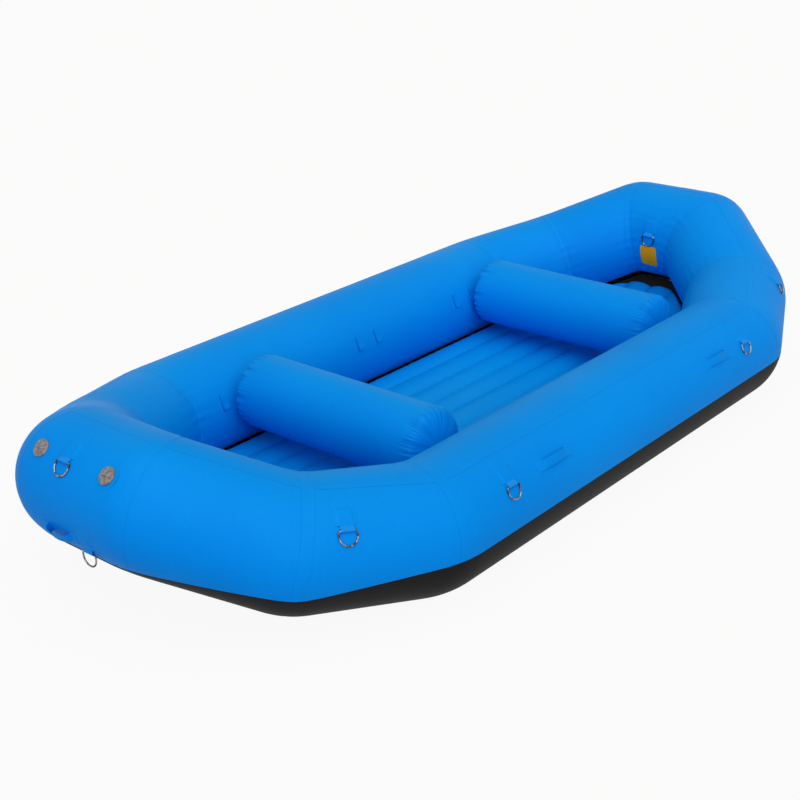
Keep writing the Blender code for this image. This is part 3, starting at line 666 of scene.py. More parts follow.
def spanColumns(span, count):
    # Places along a span as (fixed, share): close together near its bends, even between.
    start = nearBend if 0 < span < 3 else nearBend[:1] if span == 0 else nearBend[:-1]
    stop = nearBend[:1] if span == 3 else nearBend
    t = np.linspace(0, 1, count + 2)[1:-1]
    fixed = np.concatenate([start, start[-1] - t * (start[-1] + stop[-1]), -stop[::-1]])
    share = np.concatenate([0 * start, t, 1 + 0 * stop])
    return fixed, share


def runColumns():
    # The columns of a quarter, span by span. The corner between two spans counts once.
    made = [spanColumns(span, count) for span, count in enumerate(tube["spanColumns"])]
    return [(fixed[min(i, 1) :], share[min(i, 1) :]) for i, (fixed, share) in enumerate(made)]


def columnRun():
    # How far along the run each column is.
    made = enumerate(runColumns())
    return np.concatenate([runs[i] + f + s * (runs[i + 1] - runs[i]) for i, (f, s) in made])


def alongRun(theta, lift):
    # The tube's surface over every column of a quarter, for rows of theta and lift.
    grids = []
    first = 0
    count = sum(len(fixed) for fixed, share in runColumns())
    theta = np.broadcast_to(theta, (len(theta), count))
    lift = np.broadcast_to(lift, theta.shape)
    for span, (fixed, share) in enumerate(runColumns()):
        pick = slice(first, first + len(fixed))
        grids.append(tubeSurface(span, theta[:, pick], fixed, share, lift[:, pick]))
        first += len(fixed)
    return np.concatenate(grids, 1), columnRun()


def mirrored(points, end, side):
    # The stern's starboard quarter carried to another: x times end, y times side.
    return points * np.array([end, side, 1.0])


def capped(points, distance):
    # Both ends closed at a middle point.
    first = np.broadcast_to(points[:, :1].mean(0), points[:, :1].shape)
    last = np.broadcast_to(points[:, -1:].mean(0), points[:, -1:].shape)
    return (
        np.concatenate([first, points, last], 1),
        np.concatenate([distance[:1], distance, distance[-1:], distance[-1:]]),
    )


def addTubes():
    # Each quarter is one closed chamber: its circles of theta carried along the run.
    theta = math.pi + turn(tube["rows"])
    points, distance = alongRun(theta[:, None], 0.0)
    points, distance = capped(points, distance)
    uv = gridUv(turn(tube["rows"], 1) * tube["skin"], distance)
    for label, end, side in quarters:
        part = gridPart(mirrored(points, end, side), (True, False), uv)
        addPiece(f"tube_{label}", [part], bluePvc, stands=[f"chamber_{label}"])


addTubes()
print("tubes made")


# Seam tapes: one over each mitre, and a lapped seam along each quarter

band = {
    "drops": (0.026, 0.026, 0.093, 0.156, 0.150),  # its outer edge below the centre line
    "innerDrops": (0.135, 0.135, 0.150, 0.184, 0.184),
    "outerSearch": (60, 180),  # degrees
    "innerSearch": (180, 320),
    "searchSteps": 241,
    "rows": 60,
    "backRows": 12,
    "lift": 0.0013,
    "under": -0.003,
    "lip": (0.0, 0.0006, 0.0016, 0.003),
    "lipShares": (0.7, 0.95, 1.0),
    "lipSink": 0.0004,
}
tape = {
    "half": 0.025,
    "thick": 0.0008,
    "mitreRows": 180,
    # How dark the painted shade line is on the mitre tapes.
    "mitrePaintedShade": 0.5,
    "seamAngles": (22.0, 22.0, 15.0, 15.0, 15.0),
    "seamHalf": 0.014,
    "seamThick": 0.0006,
    "edge": (0.0, 0.0003, 0.0008, 0.0016, 0.004, 0.009),
    # How dark the painted shade line is at each of the edge points above.
    "paintedEdgeLine": (1.0, 1.0, 0.6, 0.0, 0.0, 0.0),
    "edgeSink": 0.0006,
    "middleColumns": 7,
    "sink": 0.007,
    "coveredFrom": 0.006,
}


def tapeSection(half, thick):
    # Round a tape's section, top side first: offset across it, lift, and the painted shade line along its
    # edges.
    # The top climbs from each edge, and two sunk points make the underside.
    edge = np.array(tape["edge"])
    middle = np.linspace(edge[-1] - half, half - edge[-1], tape["middleColumns"])[1:-1]
    rise = np.array([-tape["edgeSink"], 0.5 * thick, thick, thick, thick, thick])
    line = np.array(tape["paintedEdgeLine"])
    offset = np.concatenate([edge - half, middle, half - edge[::-1], [half, -half]])
    lift = np.concatenate([rise, thick + 0 * middle, rise[::-1], [-tape["sink"]] * 2])
    line = np.concatenate([line, 0 * middle, line[::-1], [0.0, 0.0]])
    return offset, lift, line


def underBand(k, theta):
    # 1 for angles that the chafe band covers at a corner, 0 for the rest.
    drop = np.where(np.sin(theta) > 0, band["drops"][k], band["innerDrops"][k])
    return smooth(corners[k][2] - drop - crossings(theta)[k][..., 2], 0.0, tape["coveredFrom"])


def mitreTape(k):
    # Offsets before the bend lie on the span before it, and the rest on the span after.
    offset, lift, line = tapeSection(tape["half"], tape["thick"])
    count = tape["mitreRows"]
    theta = (math.pi + turn(count))[:, None]
    lift = lift - (lift + tape["sink"]) * underBand(k, theta)
    before = tubeSurface(k - 1, theta + 0 * offset, offset, 1.0, lift)
    after = tubeSurface(k, theta + 0 * offset, offset, 0.0, lift)
    points = np.where((offset < 0)[None, :, None], before, after)
    around = turn(count, 1) * tube["skin"]
    return points, gridUv(around, np.append(offset, offset[0])), tape["mitrePaintedShade"] * line


def addTapes():
    # The lapped seam keeps to its angles, and a tape covers each of the quarter's three mitres.
    offset, lift, line = tapeSection(tape["seamHalf"], tape["seamThick"])
    angle = np.interp(columnRun(), runs, np.radians(tape["seamAngles"]))
    seam, distance = alongRun(angle + offset[:, None] / tube["skin"], lift[:, None])
    seam, distance = capped(seam, distance)
    seamUv = gridUv(np.append(offset, offset[0]), distance)
    # Painted shade along the lapped seam's edges.
    paintedSeamShade = np.broadcast_to(line[:, None], seam.shape[:2])
    for label, end, side in quarters:
        parts = [gridPart(mirrored(seam, end, side), (True, False), seamUv, paintedSeamShade)]
        for points, uv, edge in map(mitreTape, (1, 2, 3)):
            parts.append(gridPart(mirrored(points, end, side), (True, True), uv, edge))
        addPiece(f"tapes_{label}", parts, bluePvc)


addTapes()
print("tapes made")


# Chafe bands


def bandEdge(search, drops):
    # The angle at each column where the skin crosses the edge's height, found between samples.
    # The height runs straight from corner to corner.
    theta = np.radians(np.linspace(*search, band["searchSteps"]))[:, None]
    found = []
    for span, (fixed, share) in enumerate(runColumns()):
        points = tubeSurface(span, theta + 0 * fixed, fixed, share, 0 * theta * fixed)
        met = crossings(theta + 0 * fixed)
        length = np.linalg.norm(met[span + 1] - met[span], axis=-1)
        along = (fixed + share * length) / length
        first = corners[span][2] - drops[span]
        second = corners[span + 1][2] - drops[span + 1]
        over = points[..., 2] - (first + (second - first) * along)
        over = over if over[0, 0] > 0 else -over
        i = np.argmax(over < 0, 0)
        j = np.arange(len(fixed))
        t = over[i - 1, j] / (over[i - 1, j] - over[i, j])
        found.append(theta[i - 1, 0] + t * (theta[i, 0] - theta[i - 1, 0]))
    return np.concatenate(found)


def addBands():
    # Round each column: up the outer lip, under the tube to the inner lip, and back inside.
    outer = bandEdge(band["outerSearch"], band["drops"])
    inner = bandEdge(band["innerSearch"], band["innerDrops"])
    lip = np.array(band["lip"]) / tube["radius"]
    lipLift = np.append(-band["lipSink"], np.array(band["lipShares"]) * band["lift"])
    share = np.linspace(0, 1, band["rows"])[:, None]
    main = (outer + lip[-1]) * (1 - share) + (inner - lip[-1]) * share
    back = np.linspace(1, 0, band["backRows"])[:, None]
    theta = [outer + lip[:-1, None], main, inner - lip[-2::-1, None], outer * (1 - back) + inner * back]
    theta = np.concatenate(theta)
    lift = np.concatenate([lipLift[:-1], np.full(band["rows"], band["lift"]), lipLift[-2::-1]])
    lift = np.append(lift, np.full(band["backRows"], band["under"]))
    points, distance = alongRun(theta, lift[:, None])
    around = np.append(theta.mean(1), theta[0].mean()) * tube["radius"]
    for name, side in sides.items():
        bow = mirrored(points, -1, side)[:, :0:-1]
        stern = mirrored(points, 1, side)
        both = np.concatenate([bow, stern], 1)
        length = np.concatenate([-distance[:0:-1], distance])
        both, length = capped(both, length)
        part = gridPart(both, (True, False), gridUv(around, length))
        stands = [f"chafe_band_{name}"]
        addPiece(f"chafeBand_{name}", [part], blackBand, stands=stands)


addBands()
print("bands made")


# Floor and curtain

floor = {
    "clearance": 0.023,
    "halfThick": 0.052,
    "waist": 0.031,
    "channels": 8,
    "valleySoftness": 0.004,
    "round": 0.040,
    "rimPowers": (3, 0.33),
    "endReach": (0.0, 0.0, 0.018, 0.036, 0.036),
    "columns": 300,
    "rows": 129,
    "crowding": (0.35, 0.2),
    "ripple": 0.0013,
    "ripplePitch": 0.05,
    "secondRipple": 0.6,
    "secondPitch": 1.37,  # times the first
    "rippleReach": 0.17,  # in channels
    "rippleGap": 0.05,
    # Width and darkness of the painted shade along the valleys between channels.
    "paintedValleyWidth": 0.035,
    "paintedValleyShade": 0.5,
}
curtain = {
    "width": 0.0386,
    "fall": 0.012,
    "lift": 0.0006,
    "halfThick": 0.0008,
    "hem": 0.0006,
    "sag": 0.002,
    "drains": 8,
    "drainRadius": 0.008,
    "drainPitch": 0.25,
    "drainSides": 24,
    "drainDepth": 0.02,
    "eyeletGap": 0.0014,
    "eyeletHalf": (0.0021, 0.0019),
    "eyeletSteps": (36, 10),
}
floorDrop = tube["radius"] - floor["halfThick"] - floor["clearance"]
floorInset = math.sqrt(bandCorner**2 - floorDrop**2) + curtain["width"]
floorInsets = floorInset - np.array(floor["endReach"])[:, None]


def planOffsets():
    # For each corner, the plan vector that moves both its spans outboard by one.
    normals = unit(np.stack([-directions[:, 1], directions[:, 0], 0 * directions[:, 0]], -1))
    normals = normals * np.sign(np.sum(normals * (corners[1:] + corners[:-1]), 1))[:, None]
    joined = [normals[0]]
    joined += [(a + b) / (1 + a @ b) for a, b in zip(normals, normals[1:])]
    return np.array(joined + [normals[-1]])


offsets = planOffsets()


def floorOutline(inset):
    # The tube's corners in plan, moved inboard.
    return (corners - offsets * inset)[:, :2]


def floorHeight(x):
    # Middle plane of the floor, which lifts with the tubes.
    knots = floorOutline(floorInsets)[:4, 0]
    heights = np.interp(knots, corners[:4, 0], corners[:4, 2]) - floorDrop
    return np.interp(np.abs(x), knots, heights)


def addFloor():
    # z = middle + T(y) * rim: T is a round crown over each channel, |sin|^0.5, and the rim falls as
    # (1 - d^3)^(1/3). Near each valley fine ripples run across it, as cosines of x.
    outline = floorOutline(floorInsets)[:4]
    endX = outline[3, 0]
    x = endX * crowded(floor["columns"], floor["crowding"][0])
    width = np.interp(np.abs(x), outline[:, 0], outline[:, 1])
    across = crowded(floor["rows"], floor["crowding"][1])
    y = across[:, None] * width
    channel = (y / outline[0, 1] + 1) / 2 * floor["channels"]
    crown = np.sqrt(np.abs(np.sin(math.pi * channel)) + floor["valleySoftness"])
    half = floor["waist"] + (floor["halfThick"] - floor["waist"]) * crown
    distance = np.minimum(width - np.abs(y), endX - np.abs(x)) / floor["round"]
    inner, outer = floor["rimPowers"]
    rim = (1 - (1 - np.clip(distance, 0, 1)) ** inner) ** outer
    seam = np.rint(channel)
    away = np.abs(channel - seam)
    valley = np.exp(-((away / floor["rippleReach"]) ** 2)) * smooth(away, 0, floor["rippleGap"])
    turns = x * 2 * math.pi
    pitch = floor["ripplePitch"]
    other = floor["secondRipple"] * np.cos(turns / (floor["secondPitch"] * pitch) + 1.1 * seam)
    ripple = np.cos(turns / pitch + 2.3 * seam) + other
    half = (half + floor["ripple"] * ripple * valley) * rim
    # Painted shade: the valleys between channels are painted darker.
    paintedSeamShade = floor["paintedValleyShade"] * np.exp(-((away / floor["paintedValleyWidth"]) ** 2))
    uv = np.pad(gridUv(across * outline[0, 1], x), ((0, 1), (0, 1), (0, 0)), mode="edge")
    sheets = []
    for up in (1, -1):
        points = np.stack([x + 0 * y, y, floorHeight(x) + up * half], -1)
        sheets.append(gridPart(points, uv=uv, edge=paintedSeamShade))
    made = addPiece("airFloor", sheets, bluePvc, stands=["floor"], sharp=60)


addFloor()


def curtainLines():
    # The strip's two edges along a quarter: on the floor's rim, and on the tube below it.
    reach = bandCorner + curtain["lift"]
    down = floorDrop + curtain["fall"]
    angle = math.pi + math.asin(math.sqrt(reach**2 - down**2) / reach)
    tubeSide, distance = alongRun(np.array([[angle]]), reach - tube["skin"])
    rimCorners = corners - offsets * (floorInsets - 2 * tube["gap"])
    rimCorners[:, 2] = floorHeight(rimCorners[:, 0])
    rimSide = np.stack([np.interp(distance, runs, rimCorners[:, i]) for i in range(3)], -1)
    return rimSide, tubeSide[0]


def addCurtain():
    # A strip from the floor's rim to the tube: point = rim * (1 - s) + tube * s, lower in the middle
    # as sin(pi s) and thicker at its two hems. Its top and underside, one quarter after another.
    rimSide, tubeSide = curtainLines()
    share = np.concatenate([[0, 0.02, 0.10, 0.14], np.linspace(0.2, 0.8, 7), [0.86, 0.9, 0.98, 1]])
    hem = 1 - smooth(share, 0.08, 0.14) + smooth(share, 0.86, 0.92)
    thick = curtain["halfThick"] + curtain["hem"] * hem
    sag = -curtain["sag"] * np.sin(math.pi * share)
    sheets = []
    for up, order in ((1, slice(None)), (-1, slice(None, None, -1))):
        s = share[order, None, None]
        points = rimSide * (1 - s) + tubeSide * s
        points[..., 2] += (sag + up * thick)[order, None]
        sheets.append(points)
    strip = np.concatenate(sheets)
    loop = []
    for end, side in ((1, 1), (1, -1), (-1, -1), (-1, 1)):
        grid = mirrored(strip, end, side)
        loop.append(grid[:, :-1] if end == side else grid[:, :0:-1])
    loop = np.concatenate(loop, 1)
    steps = np.linalg.norm(np.diff(loop[0], axis=0, append=loop[0][:1]), axis=1)
    along = np.concatenate([[0], np.cumsum(steps)])
    widths = np.concatenate([share, share[::-1], share[:1]]) * curtain["width"]
    part = gridPart(loop, (True, True), gridUv(widths, along))
    made = addPiece("floorCurtain", [part], blackPvc, stands=["floor_curtain"])
    places = drainPlaces(rimSide[0], tubeSide[0])
    cutHoles(made, places, curtain["drainRadius"])
    eyelets = [moved(eyeletPart(), matrix) for matrix in places]
    rings = addPiece("drainEyelets", eyelets, blackPlastic)
    width = np.linalg.norm(loop[len(share) - 1] - loop[0], axis=1)


def drainPlaces(rimPoint, tubePoint):
    # The matrix of each drain, its local Z through the strip.
    made = []
    for side in sides.values():
        across = unit(tubePoint - rimPoint) * [1, side, 1]
        middle = (tubePoint + rimPoint) / 2 * [1, side, 1] - [0, 0, curtain["sag"]]
        for i in range(curtain["drains"]):
            x = (i - (curtain["drains"] - 1) / 2) * curtain["drainPitch"]
            made.append(placeMatrix(middle + [x, 0, 0], [1.0, 0.0, 0.0], across))
    return made


def cutHoles(piece, matrices, radius):
    # Round holes through the piece, all cut by one Boolean.
    tool = bmesh.new()
    size = {"segments": curtain["drainSides"], "depth": curtain["drainDepth"]}
    size.update(radius1=radius, radius2=radius)
    for matrix in matrices:
        bmesh.ops.create_cone(tool, cap_ends=True, matrix=Matrix(matrix), **size)
    mesh = bpy.data.meshes.new("holes")
    tool.to_mesh(mesh)
    tool.free()
    holes = newObject("holes", mesh)
    cut = piece.modifiers.new("holes", "BOOLEAN")
    cut.object = holes
    cut.solver = "EXACT"
    graph = bpy.context.evaluated_depsgraph_get()
    made = bpy.data.meshes.new_from_object(piece.evaluated_get(graph))
    made.set_sharp_from_angle(angle=math.radians(meshRules["sharp"]))
    piece.modifiers.clear()
    piece.data = made
    bpy.data.objects.remove(holes)


def eyeletPart():
    # A ring of oval section round a drain: its radius goes as cos a and its height as sin a.
    around, section = curtain["eyeletSteps"]
    a = turn(section)
    b = turn(around)[:, None]
    half, high = curtain["eyeletHalf"]
    radius = curtain["drainRadius"] + curtain["eyeletGap"] + half * np.cos(a)
    height = high * np.sin(a) + 0 * b
    return gridPart(np.stack([radius * np.cos(b), radius * np.sin(b), height], -1), (True, True))


addCurtain()
print("floor and curtain made")


# Thwarts: round tubes laid across the boat, their domed ends pleated and pressed on the side tubes

thwart = {
    "places": {"thwart_forward": (-0.74, 0.095), "thwart_aft": (0.923, 0.085)},  # x, lift
    "radius": 0.162,
    "crease": 0.0477,
    "dome": 0.056,
    "domePowers": (2.6, 0.55),
    "steps": 360,
    "plainHalf": (0.40, 0.41),
    "columns": (16, 12, 40),
    "pleat": 0.0085,
    "pleats": ((11, 1.6, 4, 0.7), (23, 2.0, 7, 0.45)),  # count, sway, sways, share
    "pleatPower": 0.6,
    "fold": 0.019,
    "pleatReach": (0.036, 0.026),  # inboard and outboard of the fold
    "pleatUneven": 0.45,
    "endPower": 1.5,
    "otherEnd": 1.1,
    "hub": 0.10,
    # How dark the pleats' valleys are painted, as shade.
    "paintedPleatShade": 0.8,
    "clearance": 0.0008,
}
thwartHalf = corners[0][1] - skinCorner - thwart["crease"]


def pleatValleys(alpha, shift):
    # The sum of share * (1 - |cos(count a + sway sin(sways a + shift))|^0.6): 0 on the bumps.
    total = 0.0
    for count, sway, sways, share in thwart["pleats"]:
        bumps = np.abs(np.cos(count * alpha + sway * np.sin(sways * alpha + shift)))
        total = total + share * (1 - bumps ** thwart["pleatPower"])
    return total


def thwartSurface(alpha, y, axisZ):
    # Radius R along the middle, then R * (1 - d^2.6)^0.55 over the end, d running from 0 to 1.
    # The pleats' valleys are deepest at the fold. They sink towards the axis on the side and along
    # it on the end, and are painted dark as shade. Points inside a side tube move out to its skin.
    past = np.clip((np.abs(y) - thwartHalf) / thwart["dome"], 0, 1)
    inner, outer = thwart["domePowers"]
    radius = thwart["radius"] * (1 - past**inner) ** outer
    shift = np.where(y < 0, 0.0, thwart["otherEnd"])
    near = np.abs(y) - thwartHalf - thwart["fold"]
    uneven = 1 + thwart["pleatUneven"] * np.sin(9 * alpha + shift)
    reach = np.where(near < 0, *thwart["pleatReach"]) * uneven
    valley = pleatValleys(alpha, shift) * np.exp(-((near / reach) ** 2))
    valley = valley * smooth(radius, 0, thwart["hub"])
    onEnd = past ** thwart["endPower"]
    radius = radius - thwart["pleat"] * valley * (1 - onEnd)
    y = y - np.sign(y) * thwart["pleat"] * valley * onEnd
    x = radius * np.sin(alpha)
    z = axisZ + radius * np.cos(alpha)
    sideY = np.where(y < 0, -1.0, 1.0) * corners[0][1]
    gapY, gapZ = y - sideY, z - tube["radius"]
    away = np.hypot(gapY, gapZ)
    press = np.maximum(1.0, (tube["skin"] + thwart["clearance"]) / np.maximum(away, 1e-6))
    points = np.stack([x, sideY + gapY * press, tube["radius"] + gapZ * press], -1)
    return points, thwart["paintedPleatShade"] * valley


def addThwarts():
    # Columns are far apart along the plain middle, nearer before the ends and close over them.
    alpha = (math.pi + turn(thwart["steps"]))[:, None]
    stop, start = thwart["plainHalf"]
    plain, before, over = thwart["columns"]
    outer = thwartHalf + thwart["dome"] * np.sin(np.linspace(0, 1, over) * math.pi / 2)
    half = [np.linspace(0, stop, plain), np.linspace(start, outer[0], before)[:-1], outer]
    half = np.concatenate(half)
    y = np.concatenate([-half[:0:-1], half])
    uv = gridUv(turn(thwart["steps"], 1) * thwart["radius"], np.append(y, y[-1]))
    for name, (x, lift) in thwart["places"].items():
        points, valley = thwartSurface(alpha + 0 * y, y + 0 * alpha, tube["radius"] + lift)
        part = gridPart(points + [x, 0, 0], (True, False), uv, valley)
        made = addPiece(f"{name}Skin", [part], bluePvc, stands=[name], sharp=50)


addThwarts()
print("thwarts made")


# Places on the skin of a span, and pads laid on it

# The painted shade line at a pad's rim fades out between the two line distances in from it.
padShape = {"rows": 28, "cols": 44, "rim": 1.5, "sink": 0.001, "bottom": -0.002, "line": (0.0004, 0.0018)}


def skinPlace(end, side, span, setback, elevation, inboard=False):
    # A place short of the span's far corner, with the directions along, outboard and up there.
    # Elevation is 0 on top of the tube and 90 degrees at its side.
    a, b = corners[span] * [end, side, 1], corners[span + 1] * [end, side, 1]
    along = unit(b - a)
    up = np.array([0.0, 0.0, 1.0])
    up = unit(up - along * (up @ along))
    out = np.cross(along, up)
    if out[:2] @ (a + b)[:2] < 0:
        out = -out
    if inboard:
        out = -out
    return {
        "centre": b - along * setback,
        "along": along,
        "out": out,
        "up": up,
        "angle": math.radians(elevation),
    }


def acrossEnd(end, y, elevation, inboard=False):
    # A place on the span across an end, at y.
    return skinPlace(end, 1 if y >= 0 else -1, 3, abs(y), elevation, inboard)


def offSkin(where):
    # At a place: straight off the skin, and up along it.
    sine, cosine = math.sin(where["angle"]), math.cos(where["angle"])
    return sine * where["out"] + cosine * where["up"], sine * where["up"] - cosine * where["out"]


def onSkin(where, s, t, lift):
    # s along the span, t up round the skin, both in metres, and lift off the skin.
    angle = where["angle"] - np.asarray(t) / tube["skin"]
    radial = np.sin(angle)[..., None] * where["out"] + np.cos(angle)[..., None] * where["up"]
    middle = where["centre"] + where["along"] * np.asarray(s)[..., None]
    return middle + radial * (tube["skin"] + np.asarray(lift))[..., None]


def pad(where, middle, half, thick, over=None, power=7.0, paintedDarkness=0.3):
    # A thin sheet with rounded corners, |s/a|^p + |t/b|^p = 1, whose edge falls in a small quarter
    # round. over(s, t) adds to its height where it covers something. Its rim gets a painted shade line, as
    # dark as the last argument says.
    tau = crowded(padShape["cols"])
    a = half[0] * np.clip(1 - np.abs(tau) ** power, 0, 1) ** (1 / power)
    s = crowded(padShape["rows"])[:, None] * a
    t = half[1] * tau + 0 * s
    away = np.minimum(a - np.abs(s), half[1] - np.abs(t))
    rim = np.clip(away / (padShape["rim"] * thick), 0, 1)
    extra = 0.0 if over is None else over(s + middle[0], t + middle[1])
    sink = padShape["sink"]
    lift = -sink + (thick + sink + extra) * np.sqrt(1 - (1 - rim) ** 2)
    low = np.where(rim > 0, padShape["bottom"], lift)
    top = onSkin(where, s + middle[0], t + middle[1], lift)
    under = onSkin(where, s + middle[0], t + middle[1], low)
    # Painted shade: a dark line round the rim.
    line = paintedDarkness * (1 - smooth(away, *padShape["line"]))
    uv = np.pad(np.stack([s, t], -1), ((0, 1), (0, 1), (0, 0)), mode="edge")
    return [gridPart(top, uv=uv, edge=line), gridPart(under, uv=uv, edge=line)]


# D-rings and their webbing

ring = {
    "wire": 0.00325,
    "wireSides": 14,
    "halfWidth": 0.0348,
    "leg": 0.018,
    "corner": 0.008,
    "patchWall": 0.0015,
    "webWall": 0.0016,
    "barClearance": 0.0005,
    "webWidth": 0.050,
    "webThick": 0.0014,
    "webReach": 0.078,
    "webLoop": 0.0011,
    "coverHalf": (0.046, 0.054),
    "coverMiddle": 0.072,
    "coverThick": 0.0009,
    "coverRise": 0.0033,
    "coverSlope": 0.010,
    "stitchInset": 0.004,
    "stitchUp": 0.0145,
    "stitchLift": 0.0050,
}
patchBase = (skinCorner + tube["gap"]) / math.cos(math.radians(1.5))
barRadius = (
    patchBase + ring["patchWall"] + ring["wire"] + ring["barClearance"] + ring["webWall"] / 2
)
ringReach = ring["leg"] + ring["halfWidth"]


def restingTilt(elevation):
    # From the tube's tangent to the hanging ring: against the skin, or plumb.
    touch = skinCorner + tube["gap"] + ring["wire"]
    rise = barRadius**2 + ringReach**2 - touch**2
    against = -math.asin(rise / (2 * ringReach * barRadius))
    return max(against, math.radians(elevation - 90))


def ringPath():
    # The D as its bar on X, two rounded corners, two legs and a half circle.
    r, corner = ring["halfWidth"], ring["corner"]
    a = np.linspace(-math.pi / 2, 0, 9)
    low = np.stack([r - corner + corner * np.cos(a), corner + corner * np.sin(a)], -1)
    b = np.linspace(0, math.pi, 37)
    bow = np.stack([r * np.cos(b), ring["leg"] + r * np.sin(b)], -1)
    bar = np.stack([np.linspace(-r + corner, r - corner, 8)[1:-1], np.zeros(6)], -1)
    return np.concatenate([low, bow, (low * [-1, 1])[::-1], bar])


def ringPart(where, elevation):
    # The D laid out from its bar at the resting tilt, and a round wire carried along it.
    radial, upSkin = offSkin(where)
    tilt = restingTilt(elevation)
    reach = radial * math.sin(tilt) - upSkin * math.cos(tilt)
    bar = unit(np.cross(reach, radial))
    origin = where["centre"] + radial * barRadius
    flat = ringPath()
    path = origin + bar * flat[:, :1] + reach * flat[:, 1:]
    ahead = unit(np.roll(path, -1, 0) - np.roll(path, 1, 0))
    normal = np.cross(bar, reach)
    up = np.broadcast_to(normal, path.shape)
    return swept(path, np.cross(ahead, normal), up, roundSection(ring["wire"], ring["wireSides"]))


def webPath():
    # Side view (t up the skin, lift): under layer, round the bar, and back over it.
    hang = barRadius - tube["skin"]
    loop = ring["wire"] + ring["webLoop"]
    lower = [(ring["webReach"], 0.0009), (0.05, 0.0009), (0.02, 0.0009), (0.008, 0.0012)]
    a = np.radians(np.linspace(-70, -315, 22))
    bend = np.stack([loop * np.cos(a), hang + loop * np.sin(a)], -1)
    upper = [(0.010, hang - 0.0010), (0.017, 0.0034), (0.026, 0.0026), (0.05, 0.0025)]
    return np.concatenate([lower, bend, upper, [(ring["webReach"] - 0.002, 0.0025)]])


def webPart(where):
    # The strap's side view wrapped on the skin, and its flat section carried along it.
    flat = webPath()
    path = onSkin(where, np.zeros(len(flat)), flat[:, 0], flat[:, 1])
    ahead = unit(np.gradient(path, axis=0))
    across = np.broadcast_to(where["along"], path.shape)
    section = strapSection(ring["webWidth"], ring["webThick"])
    return swept(path, across, np.cross(ahead, across), section, closed=False)


def overWeb(s, t):
    # How far the cover rises over the webbing: a smooth step at its sides and its end.
    half = ring["webWidth"] / 2
    side = 1 - smooth(np.abs(s), half, half + ring["coverSlope"])
    top = 1 - smooth(t, ring["webReach"] - 0.001, ring["webReach"] + 0.004)
    return ring["coverRise"] * side * top


thread = {"radius": 0.00045, "sides": 5, "pitch": 0.0048, "shares": (0.12, 0.88)}


def stitch(start, end, out):
    # One stitch: a thin round thread carried through four places from start to end.
    k = np.array([-0.95, -0.5, 0.5, 0.95])
    path = start + (end - start) * (k[:, None] + 1) / 2
    across = np.broadcast_to(np.cross(unit(end - start), out), path.shape)
    up = np.broadcast_to(out, path.shape)
    return swept(path, across, up, roundSection(thread["radius"], thread["sides"]), closed=False)


def stitchRow(where, first, last, lift):
    # A row of stitches from (s, t) to (s, t) on the skin.
    first, last = np.asarray(first), np.asarray(last)
    count = max(2, int(round(np.linalg.norm(last - first) / thread["pitch"])))
    made = []
    for i in range(count):
        a, b = [first + (last - first) * (i + share) / count for share in thread["shares"]]
        start, end = onSkin(where, np.array([a[0], b[0]]), np.array([a[1], b[1]]), np.full(2, lift))
        out = unit(start - where["centre"] - where["along"] * a[0])
        made.append(stitch(start, end, out))
    return made


def addRing(label, where, elevation):
    addPiece(
        f"{label}Wire",
        [ringPart(where, elevation)],
        steel,
        body=f"{label}_ring_body",
        stands=[f"{label}_ring"],
    )
    addPiece(
        f"{label}Strap",
        [webPart(where)],
        blueWebbing,
        stands=[f"{label}_webbing"],
        sharp=50,
    )
    cover = pad(where, (0, ring["coverMiddle"]), ring["coverHalf"], ring["coverThick"], overWeb)
    addPiece(f"{label}Cover", cover, bluePvc)
    half, up = ring["webWidth"] / 2 - ring["stitchInset"], ring["stitchUp"]
    rows = stitchRow(where, (-half, up), (half, up), ring["stitchLift"])
    addPiece(f"{label}Stitches", rows, blueThread)


ringPlaces = {  # span, setback, elevation
    "side": (0, 0.257, 57.0),
    "quarter": (1, 0.113, 56.0),
}
endRings = {  # end, y, elevation, inboard
    "bow_top": (-1, 0.040, 48.0, False),
    "bow_low": (-1, -0.085, 120.0, False),
    "stern_top": (1, -0.040, 48.0, False),
    "stern_inner": (1, 0.0, 80.0, True),
}
for quarter, end, side in quarters:
    for kind, (span, setback, elevation) in ringPlaces.items():
        addRing(f"{quarter}_{kind}", skinPlace(end, side, span, setback, elevation), elevation)
for label, (end, y, elevation, inboard) in endRings.items():
    addRing(label, acrossEnd(end, y, elevation, inboard), elevation)
print("rings made")


# Handles: stitched straps that arch off the skin, their ends under covers

handle = {
    "width": 0.038,
    "thick": 0.0030,
    "shape": 0.5,
    "lean": 14.0,
    "leanRise": 0.006,
    "grab": {"length": 0.200, "pad": 0.028, "rise": 0.013},
    "carry": {"length": 0.180, "pad": 0.026, "rise": 0.024},
    "grabSetback": {"bow": 0.5305, "stern": 0.504},
    "grabElevation": 56.0,
    "carryY": {"bow": 0.045, "stern": -0.045},
    "carryElevation": 110.0,
    "coverHalf": (0.020, 0.028),
    "coverThick": 0.0009,
    "coverRise": 0.0036,
    "coverInset": 0.010,
    "stitchInset": 0.002,
    "stitchHalf": 0.015,
    "stitchLift": 0.0002,
}
handleBase = skinCorner + tube["gap"] - tube["skin"]


def handlePath(sizes):
    # The arch stands off as rise * sin(pi k)^0.5 between the two flat ends.
    half = sizes["length"] / 2
    span = half - sizes["pad"]
    k = np.linspace(0, 1, 33)
    s = np.concatenate([np.linspace(-half, -span, 7)[:-1], span * (2 * k - 1)])
    s = np.concatenate([s, np.linspace(span, half, 7)[1:]])
    share = np.clip((s / span + 1) / 2, 0, 1)
    arch = sizes["rise"] * np.abs(np.sin(math.pi * share)) ** handle["shape"]
    return s, handleBase + handle["thick"] / 2 + np.where(np.abs(s) < span, arch, 0)


